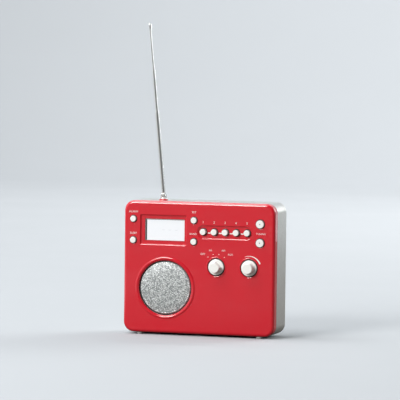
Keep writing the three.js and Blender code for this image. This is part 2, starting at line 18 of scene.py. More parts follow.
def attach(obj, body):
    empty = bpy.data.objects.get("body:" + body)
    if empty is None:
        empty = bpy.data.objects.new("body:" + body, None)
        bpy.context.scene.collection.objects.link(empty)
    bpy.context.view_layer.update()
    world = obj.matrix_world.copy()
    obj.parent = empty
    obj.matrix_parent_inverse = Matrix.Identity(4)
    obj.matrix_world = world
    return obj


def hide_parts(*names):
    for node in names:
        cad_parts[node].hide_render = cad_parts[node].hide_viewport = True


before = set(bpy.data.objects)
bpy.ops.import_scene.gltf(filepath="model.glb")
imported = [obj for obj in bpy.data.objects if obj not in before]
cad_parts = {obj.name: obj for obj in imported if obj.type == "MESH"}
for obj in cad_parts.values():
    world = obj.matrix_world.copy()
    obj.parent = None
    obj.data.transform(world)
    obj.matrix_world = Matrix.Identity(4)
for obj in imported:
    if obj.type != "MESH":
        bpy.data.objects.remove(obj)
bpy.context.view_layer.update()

MM = 0.001
FACE = -22.25
BACK = 31.75
TOP = 158.0
FLOOR = 2.5
WELD = 1e-7
log = logging.getLogger("radio")

Point = tuple[float, float]
Colour = tuple[float, float, float]


def at(depth: float) -> float:
    """Return the y of a plane at a depth behind the front face."""
    return FACE + depth


class Axis(Enum):
    """Direction that a turned body's axis points in."""

    BACK = "back"
    UP = "up"
    ACROSS = "across"


TURN = {
    Axis.BACK: Matrix.Identity(4),
    Axis.UP: Matrix.Rotation(math.radians(90), 4, "X"),
    Axis.ACROSS: Matrix.Rotation(math.radians(-90), 4, "Z"),
}


# ------------------------------------------------------------------ shapes


@dataclass
class Shape:
    """A closed surface as bare corners and faces, in millimetres."""

    corners: list[tuple[float, float, float]] = field(default_factory=list)
    faces: list[tuple[int, ...]] = field(default_factory=list)

    def moved(self, x: float = 0.0, y: float = 0.0, z: float = 0.0) -> "Shape":
        """Return a copy shifted by x, y and z."""
        return self.turned_by(Matrix.Translation((x, y, z)))

    def turned_by(self, matrix: Matrix) -> "Shape":
        """Return a copy put through a matrix."""
        return Shape([tuple(matrix @ Vector(c)) for c in self.corners], list(self.faces))

    def with_all(self, others: Iterable["Shape"]) -> "Shape":
        """Gather this shape and others into one list of separate closed surfaces.

        Args:
            others: shapes that don't touch this one or each other.

        Returns:
            One shape that holds them all.
        """
        result = Shape(list(self.corners), list(self.faces))
        for other in others:
            start = len(result.corners)
            result.corners += other.corners
            result.faces += [tuple(start + i for i in f) for f in other.faces]
        return result


def filleted(points: Sequence[Sequence[float]], steps: int = 5) -> list[Point]:
    """Round the corners of an open line of points.

    Args:
        points: (a, b) or (a, b, radius) for each corner, where the two ends have no radius.
        steps: segments in each rounded corner.

    Returns:
        The points of the rounded line.
    """
    result: list[Point] = [(points[0][0], points[0][1])]
    for before, corner, after in zip(points, points[1:], points[2:]):
        tip = Vector(corner[:2])
        radius = corner[2] if len(corner) > 2 else 0.0
        if radius <= 0:
            result.append((tip.x, tip.y))
            continue
        towards, away = Vector(before[:2]) - tip, Vector(after[:2]) - tip
        half = towards.angle(away) / 2
        reach = min(radius / math.tan(half), 0.49 * towards.length, 0.49 * away.length)
        first, last = tip + towards.normalized() * reach, tip + away.normalized() * reach
        middle = (towards.normalized() + away.normalized()).normalized()
        centre = tip + middle * (reach / math.cos(half))
        start, end = first - centre, last - centre
        for i in range(steps + 1):
            spoke = start.lerp(end, i / steps).normalized() * start.length
            result.append((centre.x + spoke.x, centre.y + spoke.y))
    result.append((points[-1][0], points[-1][1]))
    return result


def turned(profile: Sequence[Point], sides: int = 64, axis: Axis = Axis.BACK) -> Shape:
    """Make a body of revolution.

    Args:
        profile: (radius, distance along the axis) points. A line from axis to axis makes a solid body,
            and one that stays off the axis is closed into a ring.
        sides: segments round the axis.
        axis: where distances along the axis point.

    Returns:
        The closed body round the origin's axis.
    """
    shape, rings = Shape(), []
    for radius, along in profile:
        count = 1 if radius < 1e-6 else sides
        rings.append(range(len(shape.corners), len(shape.corners) + count))
        for i in range(count):
            angle = 2 * math.pi * (i + 0.5) / count
            shape.corners.append((radius * math.cos(angle), along, radius * math.sin(angle)))
    pairs = list(zip(rings, rings[1:]))
    if len(rings[0]) > 1 and len(rings[-1]) > 1:
        pairs.append((rings[-1], rings[0]))
    for a, b in pairs:
        for i in range(sides if len(a) + len(b) > 2 else 0):
            j = (i + 1) % sides
            if len(a) == 1:
                shape.faces.append((a[0], b[j], b[i]))
            elif len(b) == 1:
                shape.faces.append((a[i], a[j], b[0]))
            else:
                shape.faces.append((a[i], a[j], b[j], b[i]))
    return shape.turned_by(TURN[axis])


def rod(radius: float, start: float, end: float, sides: int = 64, axis: Axis = Axis.BACK) -> Shape:
    """Return a plain round bar between two distances along an axis."""
    return turned([(0, start), (radius, start), (radius, end), (0, end)], sides, axis)


def outline(width: float, height: float, radius: float, steps: int) -> list[Point]:
    """Return the corner points of a rounded rectangle round (0, 0).

    Args:
        width: size along X.
        height: size along Z.
        radius: radius of the corners.
        steps: segments in each corner.

    Returns:
        The (x, z) points, once round.
    """
    points = []
    radius = max(radius, 0.02)
    for corner, (sx, sz) in enumerate(((1, 1), (-1, 1), (-1, -1), (1, -1))):
        for i in range(steps + 1):
            angle = (corner + i / steps) * math.pi / 2
            points.append((
                sx * (width / 2 - radius) + radius * math.cos(angle),
                sz * (height / 2 - radius) + radius * math.sin(angle),
            ))
    return points


def lofted(sections: Sequence[tuple[float, Sequence[Point]]]) -> Shape:
    """Join outlines of equal length, front to back, and cap both ends.

    Args:
        sections: (y, outline) pairs.

    Returns:
        The closed body.
    """
    count = len(sections[0][1])
    last = (len(sections) - 1) * count
    shape = Shape([(x, y, z) for y, points in sections for x, z in points])
    for low in range(0, last, count):
        high = low + count
        for i in range(count):
            j = (i + 1) % count
            shape.faces.append((low + i, high + i, high + j, low + j))
    shape.faces.append(tuple(range(count)))
    shape.faces.append(tuple(last + count - 1 - i for i in range(count)))
    return shape


@dataclass(frozen=True)
class Slab:
    """A rounded rectangle block with softened front and back edges."""

    width: float
    height: float
    radius: float
    front: float
    back: float
    soft: float = 0.3
    steps: int = 8

    def shape(self, x: float = 0.0, z: float = 0.0) -> Shape:
        """Return the block centred on x and z.

        Args:
            x: where its centre goes.
            z: where its centre goes.

        Returns:
            The closed shape.
        """
        soft = self.soft
        line = filleted([(soft, self.front), (0, self.front, soft), (0, self.back, soft), (soft, self.back)], 3)
        sections = [
            (y, outline(self.width - 2 * i, self.height - 2 * i, self.radius - i, self.steps)) for i, y in line
        ]
        return lofted(sections).moved(x, 0, z)


def block(low: Sequence[float], high: Sequence[float]) -> Shape:
    """Return a plain box from its low and high corners, used to add to or cut other shapes.

    Args:
        low: lowest x, y and z.
        high: highest x, y and z.

    Returns:
        The closed shape.
    """
    x, z = (low[0] + high[0]) / 2, (low[2] + high[2]) / 2
    points = outline(high[0] - low[0], high[2] - low[2], 0.02, 1)
    return lofted([(low[1], points), (high[1], points)]).moved(x, 0, z)


# ------------------------------------------------------------------ meshes


def mesh_object(name: str, shape: Shape) -> bpy.types.Object:
    """Make a Blender object, in metres, from a shape.

    Args:
        name: the object's name.
        shape: the closed surface, in millimetres.

    Returns:
        The linked object, with its faces turned outwards.
    """
    mesh = bpy.data.meshes.new(name)
    mesh.from_pydata([[v * MM for v in c] for c in shape.corners], [], shape.faces)
    work = bmesh.new()
    work.from_mesh(mesh)
    bmesh.ops.remove_doubles(work, verts=work.verts, dist=WELD)
    bmesh.ops.recalc_face_normals(work, faces=work.faces)
    work.to_mesh(mesh)
    work.free()
    thing = bpy.data.objects.new(name, mesh)
    bpy.context.scene.collection.objects.link(thing)
    return thing


def settle(thing: bpy.types.Object) -> bpy.types.Object:
    """Apply every modifier of an object to its mesh.

    Args:
        thing: the object that changes.

    Returns:
        The same object, with no modifiers left.
    """
    evaluated = thing.evaluated_get(bpy.context.evaluated_depsgraph_get())
    mesh = bpy.data.meshes.new_from_object(evaluated)
    thing.modifiers.clear()
    thing.data = mesh
    return thing


def carve(thing: bpy.types.Object, operation: str, tools: Iterable[Shape]) -> bpy.types.Object:
    """Add shapes to an object or cut them from it.

    Args:
        thing: the object that changes.
        operation: DIFFERENCE or UNION.
        tools: the shapes, used in order.

    Returns:
        The same object.
    """
    cutters = [mesh_object(f"tool_{i}", tool) for i, tool in enumerate(tools)]
    for cutter in cutters:
        step = thing.modifiers.new("step", "BOOLEAN")
        step.operation, step.object, step.solver = operation, cutter, "MANIFOLD"
    settle(thing)
    for cutter in cutters:
        bpy.data.meshes.remove(cutter.data)
    return thing


def smooth(thing: bpy.types.Object, angle: float = 32.0, weighted: bool = True) -> bpy.types.Object:
    """Shade an object smooth, with sharp edges where faces meet at more than an angle in degrees.

    Args:
        thing: the object that changes.
        angle: faces that meet at more than this many degrees keep a sharp edge.
        weighted: leans the normals towards the larger faces.

    Returns:
        The same object.
    """
    mesh = thing.data
    mesh.polygons.foreach_set("use_smooth", [True] * len(mesh.polygons))
    mesh.set_sharp_from_angle(angle=math.radians(angle))
    if weighted:
        step = thing.modifiers.new("normals", "WEIGHTED_NORMAL")
        step.keep_sharp, step.weight = True, 90
        settle(thing)
    return thing


# ------------------------------------------------------------------ shader effects

Socket = bpy.types.NodeSocket


@dataclass
class Graph:
    """A node tree with short ways to add and join nodes."""

    tree: bpy.types.NodeTree

    def add(self, kind: str, settings: dict | None = None, **inputs: object) -> bpy.types.Node:
        """Add a node.

        Args:
            kind: the node type without its ShaderNode prefix.
            settings: the node's own properties.
            inputs: socket values or links, by socket name with _ for a space, or s0, s1 by number.

        Returns:
            The node.
        """
        node = self.tree.nodes.new("ShaderNode" + kind)
        for key, value in (settings or {}).items():
            setattr(node, key, value)
        for key, value in inputs.items():
            by_number = key[0] == "s" and key[1:].isdigit()
            plug = node.inputs[int(key[1:]) if by_number else key.replace("_", " ")]
            if isinstance(value, Socket):
                self.tree.links.new(value, plug)
            else:
                plug.default_value = value
        return node

    def sum(self, operation: str, *values: object) -> Socket:
        """Add a Math node and return its result."""
        node = self.add("Math", {"operation": operation}, **{f"s{i}": v for i, v in enumerate(values)})
        return node.outputs[0]

    def between(
        self, value: Socket, low: float, high: float, to_low: float = 0.0, to_high: float = 1.0
    ) -> Socket:
        """Stretch a value from one range to another, held at its ends.

        Args:
            value: the value to stretch.
            low: start of the range it comes in.
            high: end of that range.
            to_low: start of the range it goes out in.
            to_high: end of that range.

        Returns:
            The stretched value.
        """
        node = self.add(
            "MapRange", None, Value=value, From_Min=low, From_Max=high, To_Min=to_low, To_Max=to_high
        )
        return node.outputs[0]

    def tint(self, factor: object, first: object, second: object) -> Socket:
        """Mix two colours."""
        node = self.add("MixRGB", None, Fac=factor, Color1=first, Color2=second)
        return node.outputs[0]


EFFECTS: dict[str, bpy.types.NodeTree] = {}


def effect(
    name: str,
    inputs: dict[str, float | Colour],
    outputs: dict[str, str],
    fill: Callable[[Graph, dict, dict], None],
) -> bpy.types.NodeTree:
    """Make a shader node group once, and return it.

    Args:
        name: the group's name.
        inputs: default of each input, a number or a colour.
        outputs: type of each output, Float or Color.
        fill: builds the inside from the graph, the inputs and the output plugs.

    Returns:
        The group.
    """
    if name in EFFECTS:
        return EFFECTS[name]
    tree = bpy.data.node_groups.new(name, "ShaderNodeTree")
    for key, value in inputs.items():
        kind = "NodeSocketColor" if isinstance(value, tuple) else "NodeSocketFloat"
        plug = tree.interface.new_socket(name=key, in_out="INPUT", socket_type=kind)
        plug.default_value = (*value, 1.0) if isinstance(value, tuple) else value
    for key, kind in outputs.items():
        tree.interface.new_socket(name=key, in_out="OUTPUT", socket_type=f"NodeSocket{kind}")
    entry, leave = tree.nodes.new("NodeGroupInput"), tree.nodes.new("NodeGroupOutput")
    graph = Graph(tree)
    results: dict[str, Socket] = {}
    fill(graph, {key: entry.outputs[key] for key in inputs}, results)
    for key in outputs:
        tree.links.new(results[key], leave.inputs[key])
    EFFECTS[name] = tree
    return tree


def place(graph: Graph) -> Socket:
    """Return the surface's own position in metres, which stays with the piece as it moves."""
    return graph.add("TexCoord").outputs["Object"]


def moulding(graph: Graph, given: dict, made: dict) -> None:
    """Fine grain and slow unevenness of a moulded or painted surface.

    Args:
        graph: the nodes that it adds to.
        given: its inputs, by name.
        made: takes its outputs, by name.
    """
    spot = place(graph)
    fine = graph.add("TexNoise", None, Vector=spot, Scale=given["Grain Scale"], Detail=3.0, Roughness=0.6)
    slow = graph.add("TexNoise", None, Vector=spot, Scale=given["Patch Scale"], Detail=2.0, Roughness=0.5)
    made["Height"] = graph.sum("MULTIPLY_ADD", slow.outputs[0], 0.6, fine.outputs[0])
    made["Patch"] = graph.between(slow.outputs[0], 0.3, 0.7)
    tone = graph.sum("MULTIPLY", made["Patch"], given["Unevenness"])
    deep = graph.tint(0.75, (0.0, 0.0, 0.0, 1.0), given["Colour"])
    made["Colour"] = graph.tint(tone, given["Colour"], deep)


def wear(graph: Graph, given: dict, made: dict) -> None:
    """Broken line along raised edges, where hands and cloths rub.

    Args:
        graph: the nodes that it adds to.
        given: its inputs, by name.
        made: takes its outputs, by name.
    """
    edge = graph.between(graph.add("NewGeometry").outputs["Pointiness"], 0.51, 0.6)
    broken = graph.add("TexNoise", None, Vector=place(graph), Scale=given["Scale"], Detail=4.0)
    patch = graph.between(broken.outputs[0], 0.42, 0.62)
    made["Mask"] = graph.sum("MULTIPLY", graph.sum("MULTIPLY", edge, patch), given["Amount"])


def dust(graph: Graph, given: dict, made: dict) -> None:
    """Thin dust on faces that look up, thicker in patches.

    Args:
        graph: the nodes that it adds to.
        given: its inputs, by name.
        made: takes its outputs, by name.
    """
    normal = graph.add("SeparateXYZ", None, Vector=graph.add("TexCoord").outputs["Normal"])
    upward = graph.between(normal.outputs["Z"], 0.2, 1.0)
    speck = graph.add("TexNoise", None, Vector=place(graph), Scale=given["Scale"], Detail=5.0, Roughness=0.7)
    patch = graph.between(speck.outputs[0], 0.35, 0.75)
    made["Mask"] = graph.sum("MULTIPLY", graph.sum("MULTIPLY", upward, patch), given["Amount"])


def drawn(graph: Graph, given: dict, made: dict) -> None:
    """Fine lines round or along a drawn, rolled or brushed metal surface.

    Args:
        graph: the nodes that it adds to.
        given: its inputs, by name.
        made: takes its outputs, by name.
    """
    spot = graph.add("SeparateXYZ", None, Vector=place(graph))
    across = graph.sum("MULTIPLY", spot.outputs["Z"], given["Lines"])
    along = graph.sum("MULTIPLY", graph.sum("ADD", spot.outputs["X"], spot.outputs["Y"]), given["Length"])
    stretched = graph.add("CombineXYZ", None, X=along, Y=along, Z=across)
    lines = graph.add("TexNoise", None, Vector=stretched.outputs[0], Scale=1.0, Detail=4.0, Roughness=0.65)
    made["Height"] = lines.outputs[0]
    made["Tone"] = graph.between(lines.outputs[0], 0.3, 0.7)


def flake(graph: Graph, given: dict, made: dict) -> None:
    """Sparkle of metal flake in a lacquer: each cell has its own brightness.

    Args:
        graph: the nodes that it adds to.
        given: its inputs, by name.
        made: takes its outputs, by name.
    """
    cells = graph.add("TexVoronoi", None, Vector=place(graph), Scale=given["Scale"])
    grey = graph.add("SeparateColor", None, Color=cells.outputs["Color"])
    made["Tone"] = grey.outputs[0]
    made["Height"] = cells.outputs["Distance"]


def cloth(graph: Graph, given: dict, made: dict) -> None:
    """Plain weave of threads that cross at right angles.

    Args:
        graph: the nodes that it adds to.
        given: its inputs, by name.
        made: takes its outputs, by name.
    """
    spot = graph.add("SeparateXYZ", None, Vector=place(graph))
    ripple = []
    for part in ("X", "Z"):
        phase = graph.sum("MULTIPLY", spot.outputs[part], given["Threads"])
        ripple.append(graph.sum("SINE", phase))
    made["Height"] = graph.sum("MULTIPLY", ripple[0], ripple[1])
    made["Tone"] = graph.between(made["Height"], -1.0, 1.0)


# ------------------------------------------------------------------ finishes


class Texture(Enum):
    """Small-scale texture that a finish carries."""

    MOULDED = "moulded"
    FLAKE = "flake"
    DRAWN = "drawn"
    WOVEN = "woven"


@dataclass(frozen=True)
class Finish:
    """One finish of the radio, made as a node material on first use."""

    slot: str
    colour: Colour
    roughness: float
    texture: Texture = Texture.MOULDED
    metallic: float = 0.0
    coat: float = 0.0
    coat_roughness: float = 0.05
    coat_ior: float = 1.5
    grain_scale: float = 900.0
    patch_scale: float = 60.0
    unevenness: float = 0.25
    bump: float = 0.02
    bump_depth: float = 0.00005
    wear: float = 0.15
    worn: Colour = (0.7, 0.7, 0.7)
    dust: float = 0.12
    dusty: Colour = (0.55, 0.53, 0.5)
    specular: float = 0.5
    spark: float = 1.55
    sparse: float = 0.45
    cover: float = 0.55

    def group(self, graph: Graph, made_from: tuple, **values: object) -> bpy.types.Node:
        """Place an effect group in a material with its own values.

        Args:
            graph: the nodes that it adds to.
            made_from: the arguments of effect.
            values: values or links for the inputs, with _ for a space.

        Returns:
            The placed group.
        """
        node = graph.tree.nodes.new("ShaderNodeGroup")
        node.node_tree = effect(*made_from)
        for key, value in values.items():
            plug = node.inputs[key.replace("_", " ")]
            if isinstance(value, Socket):
                graph.tree.links.new(value, plug)
            else:
                plug.default_value = value
        return node

    def detail(self, graph: Graph, base: bpy.types.Node) -> tuple[Socket, Socket, Socket]:
        """Choose the small-scale texture.

        Args:
            graph: the material's nodes.
            base: the placed moulding group.

        Returns:
            The colour, the roughness pattern from 0 to 1, and the height.
        """
        colour, pattern, height = base.outputs["Colour"], base.outputs["Patch"], base.outputs["Height"]
        if self.texture is Texture.FLAKE:
            spark = self.group(graph, FLAKE, Scale=self.grain_scale * 2.5)
            bright = tuple(min(1.0, c * self.spark) for c in self.colour)
            mask = graph.between(spark.outputs["Tone"], self.sparse, 1.0, 0.0, self.cover)
            return graph.tint(mask, colour, (*bright, 1.0)), pattern, spark.outputs["Height"]
        if self.texture is Texture.DRAWN:
            lines = self.group(graph, DRAWN, Lines=self.grain_scale * 6, Length=self.grain_scale * 0.1)
            dark = tuple(c * 0.72 for c in self.colour)
            mask = graph.sum("MULTIPLY", lines.outputs["Tone"], 0.35)
            return graph.tint(mask, colour, (*dark, 1.0)), lines.outputs["Tone"], lines.outputs["Height"]
        if self.texture is Texture.WOVEN:
            weave = self.group(graph, CLOTH, Threads=self.grain_scale * 8)
            light = tuple(min(1.0, c * 2.2) for c in self.colour)
            return graph.tint(weave.outputs["Tone"], colour, (*light, 1.0)), pattern, weave.outputs["Height"]
        return colour, pattern, height

    def material(self, name: str) -> bpy.types.Material:
        """Make the finish as a node material.

        Args:
            name: the material's name.

        Returns:
            The material, made once and shared by the pieces that carry it.
        """
        if name in bpy.data.materials:
            return bpy.data.materials[name]
        result = bpy.data.materials.new(name)
        result.use_nodes = True
        graph = Graph(result.node_tree)
        shader = result.node_tree.nodes["Principled BSDF"]
        base = self.group(
            graph, MOULDING, Grain_Scale=self.grain_scale, Patch_Scale=self.patch_scale,
            Unevenness=self.unevenness, Colour=(*self.colour, 1.0),
        )
        colour, pattern, height = self.detail(graph, base)
        rubbed = self.group(graph, WEAR, Scale=self.patch_scale * 6, Amount=self.wear)
        powder = self.group(graph, DUST, Scale=self.patch_scale * 9, Amount=self.dust)
        colour = graph.tint(rubbed.outputs["Mask"], colour, (*self.worn, 1.0))
        colour = graph.tint(powder.outputs["Mask"], colour, (*self.dusty, 1.0))
        spread = graph.between(pattern, 0.0, 1.0, self.roughness * 0.88, self.roughness * 1.12)
        rough = graph.sum("MULTIPLY_ADD", powder.outputs["Mask"], 0.35, spread)
        bump = graph.add("Bump", None, Strength=self.bump, Distance=self.bump_depth, Height=height)
        for socket, plug in ((colour, "Base Color"), (rough, "Roughness"), (bump.outputs[0], "Normal")):
            graph.tree.links.new(socket, shader.inputs[plug])
        shader.inputs["Metallic"].default_value = self.metallic
        shader.inputs["Coat Weight"].default_value = self.coat
        shader.inputs["Coat Roughness"].default_value = self.coat_roughness
        shader.inputs["Coat IOR"].default_value = self.coat_ior
        shader.inputs["Specular IOR Level"].default_value = self.specular
        result.diffuse_color = (*self.colour, 1.0)
        return result

    def dress(self, thing: bpy.types.Object, name: str) -> None:
        """Put the finish on every slot of an object.

        Args:
            thing: the object that changes.
            name: name of the material.
        """
        material = self.material(name)
        if not thing.material_slots:
            thing.data.materials.append(material)
        for holder in thing.material_slots:
            holder.material = material


MOULDING = (
    "moulded_surface",
    {"Colour": (0.5, 0.5, 0.5), "Grain Scale": 900.0, "Patch Scale": 60.0, "Unevenness": 0.2},
    {"Colour": "Color", "Patch": "Float", "Height": "Float"},
    moulding,
)
WEAR = ("edge_wear", {"Scale": 300.0, "Amount": 0.2}, {"Mask": "Float"}, wear)
DUST = ("dust_film", {"Scale": 500.0, "Amount": 0.1}, {"Mask": "Float"}, dust)
DRAWN = ("drawn_lines", {"Lines": 6000.0, "Length": 90.0}, {"Height": "Float", "Tone": "Float"}, drawn)
FLAKE = ("metal_flake", {"Scale": 2500.0}, {"Tone": "Float", "Height": "Float"}, flake)
CLOTH = ("plain_weave", {"Threads": 9000.0}, {"Height": "Float", "Tone": "Float"}, cloth)

FINISHES: dict[str, Finish] = {
    "gloss_red": Finish(
        "red_gloss_plastic", (0.57, 0.004, 0.017), 0.4, coat=1.0, coat_roughness=0.03, coat_ior=1.7,
        patch_scale=25, unevenness=0.1, wear=0.05, worn=(0.75, 0.2, 0.2), dust=0.02, specular=0.08,
    ),
    "silver_lacquer": Finish(
        "silver_paint", (0.46, 0.465, 0.45), 0.36, Texture.FLAKE, metallic=0.7, coat=0.3, coat_roughness=0.2,
        unevenness=0.12, wear=0.2, worn=(0.2, 0.2, 0.2), dust=0.08,
    ),
    "grille_metal": Finish(
        "grille_mesh", (0.3, 0.325, 0.33), 0.42, Texture.FLAKE, metallic=0.3, grain_scale=400, unevenness=0.2,
        bump=0.05, wear=0.1, worn=(0.85, 0.86, 0.86), dust=0.03, spark=3.2, sparse=0.3, cover=1.0,
    ),
    "dust_cloth": Finish("dust_cloth", (0.022, 0.022, 0.024), 0.95, Texture.WOVEN, bump=0.4, dust=0.05, wear=0),
    "zinc_plate": Finish(
        "plated_steel", (0.5, 0.5, 0.49), 0.38, Texture.DRAWN, metallic=1.0, bump=0.08, wear=0.3, dust=0.08,
    ),
    "dark_rubber": Finish(
        "black_rubber", (0.018, 0.017, 0.018), 0.7, bump=0.25, wear=0.1, worn=(0.08, 0.08, 0.08),
    ),
    "foot_rubber": Finish("grey_rubber", (0.33, 0.33, 0.32), 0.75, bump=0.25, wear=0.2, worn=(0.2, 0.2, 0.2)),
    "pressed_paper": Finish("paper_cone", (0.028, 0.028, 0.03), 0.9, grain_scale=700, bump=0.5, wear=0.1),
    "sintered_ferrite": Finish("ferrite", (0.05, 0.05, 0.052), 0.55, grain_scale=1500, bump=0.2, wear=0.35),
    "display_panel": Finish(
        "display_window", (0.86, 0.89, 0.93), 0.16, coat=1.0, coat_roughness=0.02, patch_scale=30,
        unevenness=0.05, bump=0.005, wear=0, dust=0.02,
    ),
    "black_moulding": Finish("black_plastic", (0.02, 0.02, 0.021), 0.5, bump=0.2, worn=(0.12, 0.12, 0.12)),
    "board_laminate": Finish(
        "circuit_board", (0.016, 0.11, 0.045), 0.42, coat=0.4, grain_scale=2500, bump=0.15,
    ),
    "gloss_white": Finish(
        "white_gloss_plastic", (0.84, 0.835, 0.81), 0.22, coat=0.8, coat_roughness=0.05, unevenness=0.05,
        wear=0.08, worn=(0.6, 0.58, 0.53), dust=0.03,
    ),
    "wound_copper": Finish("copper_wire", (0.5, 0.2, 0.08), 0.35, Texture.DRAWN, metallic=0.9, bump=0.4),
    "turned_brass": Finish("brass", (0.55, 0.4, 0.14), 0.32, Texture.DRAWN, metallic=1.0, bump=0.08),
    "chrome_plate": Finish(
        "chrome", (0.88, 0.88, 0.87), 0.22, Texture.DRAWN, metallic=1.0, grain_scale=700, unevenness=0.1,
        bump=0.02, wear=0.1, worn=(0.55, 0.53, 0.5), dust=0.04,
    ),
    "cell_sleeve": Finish("cell_wrap", (0.09, 0.16, 0.28), 0.3, coat=0.6, worn=(0.4, 0.4, 0.42)),
    "white_print": Finish(
        "white_gloss_plastic", (0.8, 0.78, 0.76), 0.5, grain_scale=3000, unevenness=0.15, bump=0.05, wear=0,
    ),
    "blue_print": Finish("black_plastic", (0.03, 0.07, 0.13), 0.5, bump=0.05, wear=0, dust=0),
    "grey_print": Finish("display_window", (0.66, 0.69, 0.73), 0.4, unevenness=0.1, wear=0, dust=0),
}


@dataclass
class Piece:
    """A made piece: which body it rides on, its finish, and the nodes that it stands for."""

    thing: bpy.types.Object
    body: str
    finish: str
    nodes: tuple[str, ...] = ()

    def place(self) -> None:
        """Dress the piece, hang it on its body and report it."""
        finish = FINISHES[self.finish]
        finish.dress(self.thing, self.finish)
        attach(self.thing, self.body)
        if self.nodes:
            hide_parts(*self.nodes)
        log.info("%s: %d faces on %s", self.thing.name, len(self.thing.data.polygons), self.body)


# ------------------------------------------------------------------ cabinet


@dataclass(frozen=True)
class RoundPocket:
    """A round hole or well cut from the front, with a rounded rim."""

    x: float
    z: float
    radius: float
    depth: float
    rim: float = 0.35
    inner: float = 0.25
    sides: int = 64

    def cutter(self) -> Shape:
        """Return the shape that cuts the pocket, flared where it meets the front face.

        Returns:
            The closed shape.
        """
        steps = 6
        flare = [
            (self.radius + self.rim * (1 - math.sin(a)), at(self.rim * (1 - math.cos(a)) - 0.005))
            for a in (i * math.pi / 2 / steps for i in range(steps + 1))
        ]
        wide = self.radius + self.rim
        end = filleted([flare[-1], (self.radius, at(self.depth), self.inner), (0.0, at(self.depth))], 4)
        line = [(0.0, FACE - 2), (wide, FACE - 2), *flare, *end[1:]]
        return turned(line, self.sides).moved(self.x, 0, self.z)


@dataclass(frozen=True)
class FlatPocket:
    """A rounded rectangle cut from the front, with a rounded rim."""

    x: float
    z: float
    width: float
    height: float
    radius: float
    depth: float
    start: float = 0.0
    rim: float = 0.4

    def cutter(self) -> Shape:
        """Return the shape that cuts the pocket, flared where it starts.

        Returns:
            The closed shape.
        """
        steps = 5
        line = [(self.rim, self.start - 1.2)]
        for i in range(steps + 1):
            angle = i * math.pi / 2 / steps
            depth = self.start + self.rim * (1 - math.cos(angle)) - 0.005
            line.append((self.rim * (1 - math.sin(angle)), depth))
        line.append((0.0, self.depth))
        sections = [
            (at(depth), outline(self.width + 2 * out, self.height + 2 * out, self.radius + out, 10))
            for out, depth in line
        ]
        return lofted(sections).moved(self.x, 0, self.z)


PRESET_X = 31.8
PRESET_Z = 123.2
PRESET_PITCH = 13.4


@dataclass(frozen=True)
class KeySpec:
    """One push key: its name, centre and radius."""

    name: str
    x: float
    z: float
    radius: float = 3.55


@dataclass(frozen=True)
class JackSpec:
    """One socket: its piece and node names, its height, and the radii of its nose and bore."""

    name: str
    node: str
    z: float
    radius: float
    bore: float


@dataclass
class Layout:
    """Where the parts of the cabinet are, as far as more than one class needs them."""

    keys: tuple[KeySpec, ...] = (
        KeySpec("alarm_button", -81, 136.3),
        KeySpec("sleep_button", -81, 111.2),
        KeySpec("set_button", -6.3, 136.3),
        KeySpec("band_button", -6.3, 111.2),
        *(KeySpec(f"preset_button_{i + 1}", PRESET_X + (i - 2) * PRESET_PITCH, PRESET_Z) for i in range(5)),
        KeySpec("tune_up_button", 74.6, 134.2, 4.7),
        KeySpec("tune_down_button", 74.6, 112.2, 4.7),
    )
    moat: float = 1.05
    knob_z: float = 82.3
    speaker_x: float = -41.1
    speaker_z: float = 55.8
    knob_xs: tuple[float, float] = (21.5, 61.6)
    screws: tuple[Point, ...] = ((-82, 149), (82, 149), (-82, 11.5), (82, 11.5))
    display: Point = (-44.0, 124.0)
    window: Point = (-42.6, 124.0)
    presets: Point = (PRESET_X, PRESET_Z)
    preset_depth: float = 1.8
    feet_x: float = 73.5
    foot_depths: Point = (7.0, 46.0)
    door_z: float = 31.0
    jack_x: float = 74.0
    jacks: tuple[JackSpec, ...] = (
        JackSpec("power_socket", "dc_jack", 24, 4.2, 2.9),
        JackSpec("earphone_socket", "headphone_jack", 39, 3.4, 1.8),
        JackSpec("line_socket", "aux_jack", 54, 3.4, 1.8),
    )
    aerial_x: float = -49.3
    aerial_depth: float = 17.0


